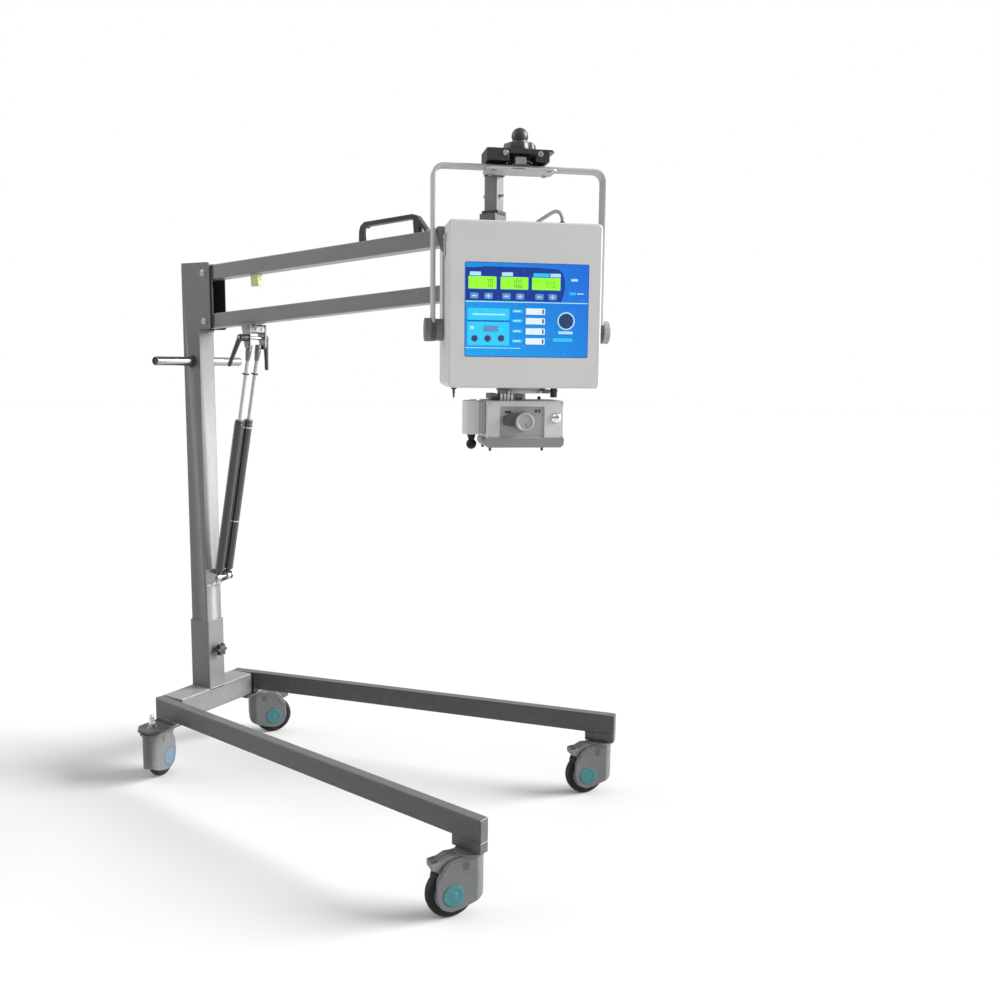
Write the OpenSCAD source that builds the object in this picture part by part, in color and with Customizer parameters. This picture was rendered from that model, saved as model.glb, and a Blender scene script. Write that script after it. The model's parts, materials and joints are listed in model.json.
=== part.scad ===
// Portable x-ray machine on a wheeled stand, all sizes in millimetres.
// +X runs forward from the column to the leg tips, +Y to the left, +Z up.
// The origin is on the floor under the column's axis.

/* [Base] */
// Height of the leg tubes
leg_h = 60; // [50:1:70]
// Width of the leg tubes
leg_w = 30; // [26:1:40]
// Length of each leg
leg_len = 1354; // [1200:1:1450]
// Angle at which each leg splays outwards
leg_splay = 10.14; // [8:0.01:12]
// Half distance between the legs' rear ends
leg_y = 170; // [160:1:190]
// Height of the cross beam
beam_h = 73; // [66:1:76]
// Wall of the base tubes
base_wall = 3; // [2:0.5:4]

/* [Casters] */
// Diameter of a wheel
wheel_d = 125; // [110:1:130]
// Width of a tyre
wheel_w = 30; // [24:1:34]
// Height from the floor to the caster's seat
caster_h = 160; // [156:1:170]
// Trail from the swivel axis to the axle
trail = 50; // [40:1:54]

/* [Column] */
// Column tube along X
col_x = 71; // [66:1:76]
// Column tube along Y
col_y = 63; // [60:1:66]
// Wall of the column tube
col_wall = 3.5; // [3:0.5:4]
// Top of the column
col_top = 1616; // [1610:1:1630]
// Top of the socket that holds the column
socket_top = 472; // [440:1:500]
// Wall of the socket
socket_wall = 4; // [3:0.5:5]
// Height of the push handle
grip_z = 1312; // [1200:1:1360]
// Diameter of the push handle
grip_d = 28; // [22:1:32]

/* [Arm] */
// Height of an arm tube
arm_h = 44; // [40:1:48]
// Width of an arm tube
arm_w = 50; // [46:1:50]
// Wall of an arm tube
arm_wall = 2.5; // [2:0.5:3]
// Distance between the two pivots of an arm
arm_len = 960; // [900:1:980]
// Tilt of the arms above level at rest
arm_tilt = 4.24; // [0:0.01:8]
// Forward distance of the column pivots
piv_x = 57; // [55:1:60]
// Height of the lower column pivot
piv_z = 1436; // [1430:1:1440]
// Distance between the upper and the lower pivot
piv_gap = 148; // [140:1:150]

/* [Head] */
// Yaw of the head's front about the vertical
head_yaw = -51.5; // [-60:0.5:-45]
// Width of the head
head_w = 375; // [340:1:380]
// Depth of the head
head_d = 208; // [180:1:210]
// Underside of the head
head_z0 = 1254; // [1250:1:1260]
// Top of the head
head_z1 = 1648; // [1630:1:1660]
// Height of the tilt axis
tilt_z = 1394; // [1380:1:1410]
// Outer width of the bail
bail_w = 435; // [425:1:445]
// Width of the bail's flat bar
bail_b = 44; // [40:1:48]
// Thickness of the bail's flat bar
bail_t = 9; // [8:0.5:10]
// Top of the bail
bail_top = 1791.5; // [1785:0.5:1800]

/* [Hidden] */
$fn = 64;

gap = 0.05;                                   // running clearance of the pins
wheel_r = wheel_d / 2;
top_z = caster_h + 27 + leg_h;                // top of the base tubes
beam_x0 = -45.7;                              // back of the cross beam
beam_x1 = col_x / 2 + 0.5 + socket_wall;      // front of the cross beam
stem_r = 8;
axle_r = 6;
stem_t = leg_len - 45.5;                      // front stem along the leg
front_x = beam_x0 + stem_t * cos(leg_splay);
front_y = leg_y + stem_t * sin(leg_splay);
rear_x = -5;
rear_y = 240;
plate_z = top_z - beam_h - 10;                // underside of the rear plates
up_z = piv_z + piv_gap;                       // upper column pivot
end_x = piv_x + arm_len * cos(arm_tilt);      // front pivots
end_z = piv_z + arm_len * sin(arm_tilt);
pin_r = 6;
arm_tail = 15;                                // arm behind its pivot
// post at the front end of the arms
post_x = 1070;
post_s = 38;
post_top = 1796;
// vertical axis of the head
head_x = 1202;
head_y = -110;
spring_x = 77;                                // lower eye of the gas springs
spring_z = 622;
spring_tx = 236;                              // upper eye of the gas springs
spring_tz = 1384;
spring_lean = atan((spring_tx - spring_x) / (spring_tz - spring_z));
spring_len = sqrt(pow(spring_tx - spring_x, 2) + pow(spring_tz - spring_z, 2));
spring_y = 20;
cyl_top = 521;                                // top of a cylinder along its axis
coll_y = 11;                                  // collimator axis across the head
// caster places: [x, y, heading of the wheel's leading side]
CAST_FL = [front_x, front_y, 48];
CAST_FR = [front_x, -front_y, 52];
CAST_RL = [rear_x, rear_y, 230];
CAST_RR = [rear_x, -rear_y, -72];
// cable over the head's top: [forward, across, height]
CABLE = [[6, 36, 1652], [6, 48, 1662], [6, 66, 1674], [6, 82, 1684], [6, 92, 1688], [6, 101, 1686], [6, 107, 1677], [6, 109, 1668], [6, 109, 1656]];
cable_r = 4.5;

PAINT = [0.43, 0.43, 0.44];
DARK = [0.13, 0.13, 0.14];
CREAM = [0.76, 0.76, 0.75];
BRIGHT = [0.8, 0.8, 0.81];

// rounded rectangle, centred
module rrect(w, h, r) {
  square([w - 2 * r, h], center = true);
  square([w, h - 2 * r], center = true);
  for (x = [-1, 1], y = [-1, 1]) translate([x * (w / 2 - r), y * (h / 2 - r)]) circle(r);
}
// box from its low to its high corner
module box(a, b) { translate(a) cube(b - a); }
// cylinder along Y through a point of the XZ plane
module ycyl(x, z, r, y0, y1) { translate([x, y1, z]) rotate([90, 0, 0]) cylinder(r = r, h = y1 - y0); }
// children drawn in the XZ plane and extruded along Y
module xz(y0, y1) { translate([0, y1, 0]) rotate([90, 0, 0]) linear_extrude(y1 - y0) children(); }
// children drawn in the YZ plane and extruded along X
module yz(x0, x1) { translate([x0, 0, 0]) rotate([90, 0, 90]) linear_extrude(x1 - x0) children(); }
// frame of the head: +X to its front, +Y across
module at_head() { translate([head_x, head_y, 0]) rotate([0, 0, head_yaw]) children(); }
// frame of an arm: +X along it from its column pivot
module at_arm(z) { translate([piv_x, 0, z]) rotate([0, -arm_tilt, 0]) children(); }
// frame of the gas springs: +Z along them from the lower eye
module at_spring() { translate([spring_x, 0, spring_z]) rotate([0, spring_lean, 0]) children(); }
module at_cast(c) { translate([c[0], c[1], 0]) rotate([0, 0, c[2]]) children(); }
// frame of a leg: +X along it
module at_leg(s) { translate([beam_x0, s * leg_y, 0]) rotate([0, 0, s * leg_splay]) children(); }

// ---- base ----
module leg_body(s) {
  color(PAINT) at_leg(s) {
    difference() {
      box([0, -leg_w / 2, top_z - leg_h], [leg_len, leg_w / 2, top_z]);
      box([base_wall, -leg_w / 2 + base_wall, top_z - leg_h + base_wall], [leg_len - base_wall, leg_w / 2 - base_wall, top_z - base_wall]);
      translate([stem_t - 80, 0, top_z - leg_h - 1]) cylinder(r = 4, h = base_wall + 2);
    }
    box([leg_len - 91, -leg_w / 2, caster_h], [leg_len, leg_w / 2, top_z - leg_h]);
    box([0, -leg_w / 2, plate_z + 10], [84, leg_w / 2, top_z - leg_h]);
    translate([stem_t, 0, caster_h - 29]) cylinder(r = stem_r, h = 29);
  }
}
module leg_solid(s) { at_leg(s) box([-60, -leg_w / 2, 0], [leg_len, leg_w / 2, 400]); }
module cross_beam() {
  color(PAINT) difference() {
    box([beam_x0, -leg_y, top_z - beam_h], [beam_x1, leg_y, top_z]);
    box([beam_x0 + base_wall, -leg_y - 1, top_z - beam_h + base_wall], [beam_x1 - base_wall, leg_y + 1, top_z - base_wall]);
    box([-beam_x1, -col_y / 2 - 0.5 - socket_wall, 0], [beam_x1 + 1, col_y / 2 + 0.5 + socket_wall, 400]);
    for (s = [-1, 1]) {
      leg_solid(s);
      at_leg(s) box([-60, s > 0 ? 0 : -90, 0], [200, s > 0 ? 90 : 0, 400]);
    }
  }
}
module leg_left() { leg_body(1); }
module leg_right() { leg_body(-1); }
module rear_plate(s) {
  color(PAINT) difference() {
    union() {
      translate([-3, s * 205, plate_z]) linear_extrude(10) rrect(94, 146, 34);
      translate([-3, s * 160, plate_z]) linear_extrude(10) square([94, 56], center = true);
      translate([rear_x, s * rear_y, caster_h]) cylinder(r = 25, h = plate_z - caster_h + 1);
    }
    translate([rear_x, s * rear_y, caster_h - 1]) cylinder(r = stem_r + 0.02, h = 40);
  }
}
module rear_plate_left() { rear_plate(1); }
module rear_plate_right() { rear_plate(-1); }
module stem(s) {
  color(BRIGHT) translate([rear_x, s * rear_y, 0]) {
    translate([0, 0, caster_h - 29]) cylinder(r = stem_r, h = 80);
    translate([0, 0, plate_z + 10]) cylinder(r = 13, h = 9, $fn = 6);
    translate([0, 0, caster_h + 51]) cylinder(r1 = stem_r, r2 = stem_r - 2, h = 2);
  }
}
module stem_left() { stem(1); }
module stem_right() { stem(-1); }
module column_socket() {
  ox = col_x / 2 + 0.5;
  oy = col_y / 2 + 0.5;
  color(PAINT) difference() {
    box([-ox - socket_wall, -oy - socket_wall, top_z - beam_h], [ox + socket_wall, oy + socket_wall, socket_top]);
    box([-ox, -oy, top_z - beam_h + 6], [ox, oy, socket_top + 1]);
    translate([ox - 1, 0, 375]) rotate([0, 90, 0]) cylinder(r = 5, h = socket_wall + 2);
  }
}
module socket_knob() {
  ox = col_x / 2 + 0.5;
  color(DARK) translate([ox - 0.2, 0, 375]) rotate([0, 90, 0]) {
    cylinder(r = 5, h = socket_wall + 22);
    translate([0, 0, socket_wall + 2]) cylinder(r = 9, h = 10);
    translate([0, 0, socket_wall + 12]) {
      cylinder(r = 15, h = 16);
      for (a = [0 : 60 : 300]) rotate([0, 0, a]) translate([15, 0, 0]) cylinder(r = 6, h = 16);
    }
  }
}

// ---- casters ----
module fork_body(c) {
  color(PAINT) at_cast(c) {
    difference() {
      union() {
        xz(-27, 27) {
          translate([-trail, wheel_r]) circle(43);
          polygon([[-38, caster_h - 12], [-62, 116], [-90, 78], [-trail, wheel_r], [-trail + 14, wheel_r - 40.6], [22, 40], [34, 56], [34, caster_h - 12]]);
        }
        translate([0, 0, caster_h - 34]) cylinder(r = 34, h = 33.5);
        // brake pedal
        xz(-17, 17) polygon([[-20, caster_h - 6], [-64, caster_h - 6], [-82, caster_h - 17], [-104, caster_h - 20], [-104, caster_h - 29], [-92, caster_h - 31], [-78, caster_h - 42], [-20, caster_h - 42]]);
      }
      ycyl(-trail, wheel_r, wheel_r + 5, -wheel_w / 2 - 5, wheel_w / 2 + 5);
      translate([0, 0, caster_h - 31]) cylinder(r = stem_r + gap, h = 32);
    }
    ycyl(-trail, wheel_r, axle_r, -27, 27);
    for (s = [-1, 1]) ycyl(-trail, wheel_r, 24, s > 0 ? 26 : -28.5, s > 0 ? 28.5 : -26);
  }
}
module wheel_body(c) {
  color(DARK) at_cast(c) difference() {
    union() {
      ycyl(-trail, wheel_r, wheel_r, -wheel_w / 2 + 5, wheel_w / 2 - 5);
      ycyl(-trail, wheel_r, wheel_r - 5, -wheel_w / 2, wheel_w / 2);
      ycyl(-trail, wheel_r, 13, -wheel_w / 2 - 3, wheel_w / 2 + 3);
    }
    for (s = [-1, 1]) translate([0, s * (wheel_w / 2 - 3), 0]) difference() {
      ycyl(-trail, wheel_r, wheel_r - 18, -3.5, 3.5);
      ycyl(-trail, wheel_r, 13, -4, 4);
    }
    ycyl(-trail, wheel_r, axle_r + gap, -30, 30);
  }
}
module fork_fl() { fork_body(CAST_FL); }
module fork_fr() { fork_body(CAST_FR); }
module fork_rl() { fork_body(CAST_RL); }
module fork_rr() { fork_body(CAST_RR); }
module wheel_fl() { wheel_body(CAST_FL); }
module wheel_fr() { wheel_body(CAST_FR); }
module wheel_rl() { wheel_body(CAST_RL); }
module wheel_rr() { wheel_body(CAST_RR); }

// ---- column ----
cheek_z = 1411;
cheek_x = 84;
col_bottom = 290;
module column() {
  hx = col_x / 2;
  hy = col_y / 2;
  color(PAINT) difference() {
    union() {
      box([-hx, -hy, col_bottom], [hx, hy, col_top]);
      xz(-hy, hy) {
        translate([0, cheek_z]) square([cheek_x, col_top - cheek_z - 10]);
        translate([0, col_top - 20]) square([cheek_x - 10, 20]);
        translate([cheek_x - 10, col_top - 10]) circle(10);
      }
    }
    box([-hx + col_wall, -hy + col_wall, col_bottom - 1], [hx - col_wall, hy - col_wall, col_top - 4]);
    box([20, -hy + col_wall, cheek_z - 1], [cheek_x + 1, hy - col_wall, col_top + 1]);
    for (z = [piv_z, up_z]) ycyl(piv_x, z, pin_r + 0.02, -60, 60);
    ycyl(0, grip_z, grip_mid + 0.02, -60, 60);
  }
}
module arm_liner() {
  hy = col_y / 2 - col_wall;
  color([0.06, 0.06, 0.065]) difference() {
    box([20, -hy, cheek_z + 2], [cheek_x + 9, hy, col_top - 10]);
    box([23, -hy + 2, cheek_z], [cheek_x + 10, hy - 2, col_top]);
    for (z = [piv_z, up_z]) ycyl(piv_x, z, pin_r + 0.02, -60, 60);
  }
}
grip_mid = grip_d / 2 - 0.5;                  // the bar is turned down where it passes the column
module push_handle() {
  color(BRIGHT) difference() {
    union() {
      ycyl(0, grip_z, grip_mid, -50, 50);
      ycyl(0, grip_z, grip_d / 2, -180, -41.5);
      ycyl(0, grip_z, grip_d / 2, 41.5, 180);
    }
    ycyl(0, grip_z, grip_d / 2 - 2, -176, 176);
    ycyl(0, grip_z, 4, -181, -170);
    ycyl(0, grip_z, 4, 170, 181);
  }
}
module handle_collars() {
  color(DARK) for (s = [-1, 1]) difference() {
    ycyl(0, grip_z, grip_d / 2 + 3, s > 0 ? col_y / 2 : -col_y / 2 - 8, s > 0 ? col_y / 2 + 8 : -col_y / 2);
    ycyl(0, grip_z, grip_mid + 0.02, -60, 60);
  }
}
module cross_bolt(x, z, hy, r) {
  ycyl(x, z, r, -hy, hy);
  for (s = [-1, 1]) translate([x, s * (hy + 2.5), z]) rotate([90, 0, 0]) cylinder(r = r + 3.5, h = 5, center = true);
  ycyl(x, z, r - 1, hy, hy + 9);
}
module column_bolts() {
  color(BRIGHT) for (z = [piv_z, up_z]) cross_bolt(piv_x, z, col_y / 2, pin_r);
}
module spring_bracket() {
  hx = col_x / 2;
  color(BRIGHT) {
    box([hx, -34, spring_z - 34], [hx + 4, 34, spring_z + 22]);
    for (s = [-1, 1]) difference() {
      xz(s > 0 ? 30 : -34, s > 0 ? 34 : -30) {
        translate([spring_x, spring_z]) circle(13);
        polygon([[hx, spring_z - 30], [hx, spring_z + 18], [spring_x, spring_z + 13], [spring_x, spring_z - 13]]);
      }
    }
    ycyl(spring_x, spring_z, 5, -39, 39);
  }
}

// ---- arms ----
module arm_tube() {
  difference() {
    union() {
      difference() {
        box([-arm_tail, -arm_w / 2, -arm_h / 2], [arm_len + arm_tail, arm_w / 2, arm_h / 2]);
        box([-arm_tail - 1, -arm_w / 2 + arm_wall, -arm_h / 2 + arm_wall], [arm_len + arm_tail + 1, arm_w / 2 - arm_wall, arm_h / 2 - arm_wall]);
      }
      for (x = [0, arm_len]) ycyl(x, 0, 11, -arm_w / 2, arm_w / 2);
    }
    for (x = [0, arm_len]) ycyl(x, 0, pin_r + gap, -arm_w, arm_w);
  }
}
module upper_arm() { color(PAINT) at_arm(up_z) arm_tube(); }
module lower_arm() { color(PAINT) at_arm(piv_z) arm_tube(); }
module carry_handle() {
  color(DARK) at_arm(up_z) translate([586, 0, arm_h / 2]) difference() {
    xz(-11, 11) polygon([[0, 0], [3, 30], [8, 44], [22, 54], [186, 54], [200, 48], [228, 8], [230, 0]]);
    xz(-12, 12) polygon([[22, -1], [22, 36], [30, 42], [178, 42], [186, 38], [186, -1]]);
    xz(-12, 12) polygon([[205, -1], [205, 26], [219, 8], [220, -1]]);
  }
}
module level_vial() {
  color([0.72, 0.78, 0.35, 0.6]) at_arm(up_z) translate([189, 0, -arm_h / 2 - 37]) {
    difference() {
      box([-15, -11, 0], [15, 11, 37]);
      box([-9, -12, 14], [9, 12, 27]);
    }
  }
}
module spring_clevis() {
  // in the frame of the lower arm; the eye's place is worked out from the springs
  c = cos(arm_tilt);
  s = sin(arm_tilt);
  ex = (spring_tx - piv_x) * c + (spring_tz - piv_z) * s;
  ez = -(spring_tx - piv_x) * s + (spring_tz - piv_z) * c;
  color(BRIGHT) at_arm(piv_z) {
    box([ex - 28, -38, -arm_h / 2 - 5], [ex + 28, 38, -arm_h / 2]);
    for (k = [-1, 1]) xz(k > 0 ? 31 : -36, k > 0 ? 36 : -31) {
      translate([ex, ez - 22]) circle(12);
      polygon([[ex - 12, ez - 22], [ex - 18, -arm_h / 2 - 4], [ex + 18, -arm_h / 2 - 4], [ex + 12, ez - 22]]);
    }
    ycyl(ex, ez, 5, -40.5, 40.5);
  }
}
module clamp_lever(s) {
  boss = s > 0 ? 16 : 34;
  c = cos(arm_tilt);
  t = sin(arm_tilt);
  ex = (spring_tx - piv_x) * c + (spring_tz - piv_z) * t;
  ez = -(spring_tx - piv_x) * t + (spring_tz - piv_z) * c;
  color(DARK) at_arm(piv_z) translate([ex, s * 36.3, ez]) rotate([0, s > 0 ? 4 : 32, 0]) {
    translate([0, s * boss / 2, 0]) rotate([90, 0, 0]) difference() {
      cylinder(r = 11, h = boss, center = true);
      translate([0, 0, s * (boss / 2 - 3)]) cylinder(r = 5.02, h = 12, center = true);
    }
    translate([0, s * (boss - 4), -2]) mirror([0, 0, 1]) cylinder(r1 = 7.5, r2 = 5.5, h = 90);
    translate([0, s * (boss - 4), -92]) sphere(r = 5.5);
  }
}
module clamp_lever_left() { clamp_lever(1); }
module clamp_lever_right() { clamp_lever(-1); }

// ---- front end ----
end_x1 = post_x + post_s / 2 + 3;
end_top = 1700;
module end_bracket() {
  hy = col_y / 2;
  up = end_z + piv_gap;
  color(PAINT) difference() {
    box([end_x - 24, -hy, end_z - 32], [end_x1, hy, end_top]);
    box([end_x - 25, -hy + col_wall, end_z - 33], [end_x1 - 3, hy - col_wall, end_top - 5]);
    box([end_x - 25, -hy + col_wall, end_top - 6], [post_x - post_s / 2 - 3, hy - col_wall, end_top + 1]);
    box([post_x - post_s / 2 - 0.05, -post_s / 2 - 0.05, end_top - 10], [post_x + post_s / 2 + 0.05, post_s / 2 + 0.05, end_top + 1]);
    // side walls end lower behind the post
    box([end_x - 25, -hy - 1, end_top - 20], [post_x - post_s / 2 - 6, hy + 1, end_top + 1]);
    for (z = [end_z, up]) ycyl(end_x, z, pin_r + 0.02, -60, 60);
  }
}
module end_post() {
  color(PAINT) {
    difference() {
      translate([post_x - post_s / 2, -post_s / 2, end_z - 10]) cube([post_s, post_s, post_top - end_z + 10]);
      translate([post_x - post_s / 2 + 3, -post_s / 2 + 3, end_z - 11]) cube([post_s - 6, post_s - 6, post_top - end_z + 11 - 20]);
      translate([post_x - 40, 0, 1748]) rotate([0, 90, 0]) cylinder(r = 4.02, h = 80);
    }
    translate([post_x, 0, post_top - 1]) cylinder(r = 10, h = 31);
  }
}
module post_collar() {
  color(DARK) translate([post_x, 0, end_top]) linear_extrude(8) difference() {
    rrect(post_s + 12, post_s + 12, 6);
    square(post_s + 0.1, center = true);
  }
}
module front_bolts() {
  color(BRIGHT) {
    for (z = [end_z, end_z + piv_gap]) cross_bolt(end_x, z, col_y / 2, pin_r);
    translate([post_x - 30, 0, 1748]) rotate([0, 90, 0]) cylinder(r = 4, h = 60);
    for (s = [-1, 1]) translate([post_x + s * 23, 0, 1748]) rotate([0, 90, 0]) cylinder(r = 7, h = 8, center = true);
  }
}

// ---- gas springs ----
module cylinder_body(s) {
  color([0.05, 0.05, 0.055]) at_spring() translate([0, s * spring_y, 0]) {
    difference() {
      union() {
        translate([0, 0, 24]) cylinder(r = 14, h = cyl_top - 24);
        translate([0, 0, 8]) cylinder(r = 8, h = 17);
        ycyl(0, 0, 11, -7, 7);
      }
      translate([0, 0, 60]) cylinder(r = 11.5, h = cyl_top - 66);
      translate([0, 0, 60]) cylinder(r = 5 + gap, h = cyl_top);
      ycyl(0, 0, 5 + gap, -8, 8);
    }
  }
}
module rod_body(s) {
  color(BRIGHT) at_spring() translate([0, s * spring_y, 0]) {
    translate([0, 0, 400]) cylinder(r = 5, h = spring_len - 400 - 34);
    translate([0, 0, 665]) cylinder(r = 11, h = 3.5);
    translate([0, 0, spring_len - 54]) cylinder(r = 8, h = 32);
  }
}
module cylinder_left() { cylinder_body(1); }
module cylinder_right() { cylinder_body(-1); }
module rod_left() { rod_body(1); }
module rod_right() { rod_body(-1); }

// ---- turning bracket over the head ----
brk_z0 = 1797;
brk_z1 = 1826;
module top_bracket() {
  // place of the post in the head's frame
  dx = post_x - head_x;
  dy = -head_y;
  pa = dx * cos(head_yaw) + dy * sin(head_yaw);
  pb = -dx * sin(head_yaw) + dy * cos(head_yaw);
  color([0.09, 0.09, 0.1]) at_head() difference() {
    union() {
      // top plate
      translate([0, 0, brk_z1 - 5]) linear_extrude(5) polygon([[-44, -88], [40, -88], [44, -82], [44, 70], [36, 80], [-36, 80], [-44, 70]]);
      // front wall with its window
      difference() {
        box([39, -88, brk_z0], [44, 66, brk_z1 - 4]);
        box([38, -34, brk_z0 - 1], [45, 32, brk_z1 - 11]);
      }
      box([-44, -88, brk_z0], [-39, 66, brk_z1 - 4]);
      box([-44, -88, brk_z0], [44, -83, brk_z1 - 4]);
      box([-44, 61, brk_z0], [44, 66, brk_z1 - 4]);
      // tongue to the post
      translate([0, 0, brk_z1 - 5]) linear_extrude(5) {
        polygon([[-42, pb - 27], [-42, pb + 27], [pa, pb + 27], [pa, pb - 27]]);
        translate([pa, pb]) circle(27);
      }
      for (s = [-1, 1]) box([pa, pb + s * 24.5 - 2.5, brk_z0], [-40, pb + s * 24.5 + 2.5, brk_z1 - 4]);
      translate([pa, pb, brk_z0]) cylinder(r = 27, h = brk_z1 - brk_z0);
    }
    translate([pa, pb, brk_z0 - 1]) cylinder(r = 10 + gap, h = 40);
    translate([0, 0, brk_z0 - 1]) cylinder(r = 10 + gap, h = 40);
  }
}
module swivel_cap() {
  color(DARK) translate([post_x, 0, 0]) difference() {
    translate([0, 0, brk_z1 + 0.5]) cylinder(r = 16, h = 9);
    translate([0, 0, brk_z1]) cylinder(r = 10.02, h = post_top + 30.3 - brk_z1);
  }
}

// ---- bail ----
module bail() {
  w = bail_w / 2;
  r = 30;
  color(CREAM) at_head() {
    box([-bail_b / 2, -w + r, bail_top - bail_t], [bail_b / 2, w - r, bail_top]);
    for (s = [-1, 1]) {
      intersection() {
        translate([-bail_b / 2, s * (w - r), bail_top - r]) rotate([0, 90, 0]) difference() {
          cylinder(r = r, h = bail_b);
          translate([0, 0, -1]) cylinder(r = r - bail_t, h = bail_b + 2);
        }
        box([-bail_b, s > 0 ? w - r : -w, bail_top - r], [bail_b, s > 0 ? w : -w + r, bail_top]);
      }
      difference() {
        xz(s > 0 ? w - bail_t : -w, s > 0 ? w : -w + bail_t) {
          translate([-bail_b / 2, tilt_z]) square([bail_b, bail_top - r - tilt_z]);
          translate([0, tilt_z]) circle(bail_b / 2);
        }
        ycyl(0, tilt_z, pin_r + gap, -w - 1, w + 1);
      }
    }
  }
}
module saddle_plate() {
  color(CREAM) at_head() {
    translate([0, 0, bail_top - bail_t - 5]) linear_extrude(5) polygon([[-44, -78], [-36, -86], [36, -86], [44, -78], [44, 78], [36, 86], [-36, 86], [-44, 78]]);
    for (x = [-32, 32], y = [-68, 68]) translate([x, y, bail_top - bail_t - 9]) cylinder(r = 6, h = 4.5, $fn = 6);
  }
}
module pan_stud() {
  color(BRIGHT) at_head() {
    translate([0, 0, bail_top]) cylinder(r = 31, h = 19);
    translate([0, 0, bail_top + 19]) cylinder(r = 24, h = 8);
    translate([0, 0, bail_top + 26]) cylinder(r = 10, h = 30);
  }
}
module top_knob() {
  color(DARK) at_head() difference() {
    union() {
      translate([0, 0, brk_z1 + 0.5]) cylinder(r1 = 42, r2 = 38, h = 18);
      translate([0, 0, brk_z1 + 18]) cylinder(r = 18, h = 16);
      translate([0, 0, 1863]) sphere(r = 20.5);
    }
    translate([0, 0, brk_z1]) cylinder(r = 10.02, h = bail_top + 56.2 - brk_z1);
  }
}

// ---- head ----
head_h = head_z1 - head_z0;
seam = -14;
module shell(x0, x1, w, z0, z1, r, open_back) {
  difference() {
    yz(x0, x1) translate([0, (z0 + z1) / 2]) rrect(w, z1 - z0, r);
    yz(open_back ? x0 - 1 : x0 + 3, open_back ? x1 - 3 : x1 + 1) translate([0, (z0 + z1) / 2]) rrect(w - 6, z1 - z0 - 6, r - 3);
  }
}
module front_shell() {
  color(CREAM) at_head() difference() {
    shell(seam, head_d / 2, head_w, head_z0, head_z1, 14, true);
    // seat of the control panel
    box([head_d / 2 - 1.5, -148, 1328], [head_d / 2 + 1, 155, 1551]);
  }
}
module rear_shell() {
  color(CREAM) at_head() shell(-head_d / 2, seam, head_w - 6, head_z0 + 3, head_z1 - 3, 11, false);
}
module tube_block() {
  color(DARK) at_head() box([-60, -90, head_z0 + 8], [60, 90, head_z0 + 118]);
}
module panel() {
  color([0.1, 0.5, 0.9]) at_head() box([head_d / 2 - 1.5, -148, 1328], [head_d / 2 + 0.8, 155, 1551]);
}
module tilt_knob(s) {
  w = bail_w / 2;
  color([0.3, 0.3, 0.31]) at_head() {
    // spacer against the head's side
    ycyl(0, tilt_z, 27, s > 0 ? head_w / 2 : -w + bail_t + 0.5, s > 0 ? w - bail_t - 0.5 : -head_w / 2);
    ycyl(0, tilt_z, pin_r, s > 0 ? head_w / 2 : -w - 4, s > 0 ? w + 4 : -head_w / 2);
    // grip outside the bail
    difference() {
      ycyl(0, tilt_z, 29, s > 0 ? w + 0.5 : -w - 17, s > 0 ? w + 17 : -w - 0.5);
      for (a = [0 : 30 : 330]) translate([30.5 * cos(a), 0, tilt_z + 30.5 * sin(a)]) ycyl(0, 0, 4, s > 0 ? w : -w - 18, s > 0 ? w + 18 : -w);
    }
  }
}
module tilt_knob_left() { tilt_knob(-1); }
module tilt_knob_right() { tilt_knob(1); }
module cable_gland() {
  color(DARK) at_head() {
    translate([6, 109, head_z1]) difference() {
      union() {
        cylinder(r = 10, h = 7, $fn = 6);
        cylinder(r = 7.5, h = 16);
      }
      translate([0, 0, -1]) cylinder(r = cable_r + 0.6, h = 20);
    }
    translate([6, 38, head_z1]) difference() {
      cylinder(r = 11, h = 4);
      translate([0, 0, -1]) cylinder(r = 8, h = 6);
    }
  }
}
function seg(p, i) = let (a = p[max(i - 1, 0)], b = p[min(i + 1, len(p) - 1)], d = b - a) d / norm(d);
module tube(p, r, n) {
  polyhedron(
    points = [for (i = [0 : len(p) - 1]) let (d = seg(p, i), u = [1, 0, 0], v = cross(d, u)) for (k = [0 : n - 1]) p[i] + r * (cos(360 * k / n) * u + sin(360 * k / n) * v / norm(v))],
    faces = concat(
      [[for (k = [n - 1 : -1 : 0]) k]],
      [for (i = [0 : len(p) - 2]) for (k = [0 : n - 1]) [i * n + k, i * n + (k + 1) % n, (i + 1) * n + (k + 1) % n, (i + 1) * n + k]],
      [[for (k = [0 : n - 1]) (len(p) - 1) * n + k]]));
}
module cable() {
  color([0.6, 0.6, 0.6]) at_head() tube(CABLE, cable_r, 10);
}
module turntable() {
  color([0.66, 0.66, 0.66]) at_head() {
    translate([0, coll_y, head_z0 - 14]) cylinder(r = 62, h = 14);
    translate([34, 88, head_z0 - 24]) cylinder(r = 8.5, h = 24);
  }
}

// ---- collimator ----
coll_top = 1222.5;
coll_low = 1107;
module collimator() {
  color(CREAM) at_head() {
    difference() {
      union() {
        box([-68, -86, 1127], [68, 108, coll_top]);
        // skirt, wider at its rim
        yz(-72, 72) polygon([[-86, 1130], [-94, 1122], [-94, 1112], [-88, coll_low], [102, coll_low], [108, 1113], [108, 1130]]);
        translate([0, coll_y, coll_top]) cylinder(r = 52, h = head_z0 - 14.5 - coll_top);
      }
      // hollow body, open below
      box([-64, -82, coll_low - 1], [64, 104, coll_top - 4]);
      translate([0, coll_y, coll_top - 10]) cylinder(r = 40, h = 60);
      // recess on the front
      box([66.5, -54, 1131], [69, 58, 1209]);
    }
    // beam window
    box([-66, -84, coll_low + 5], [66, 106, coll_low + 9]);
    for (y = [-77, 54]) translate([60, y, 1094]) cylinder(r = 5, h = coll_low + 6 - 1094);
  }
}
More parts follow.
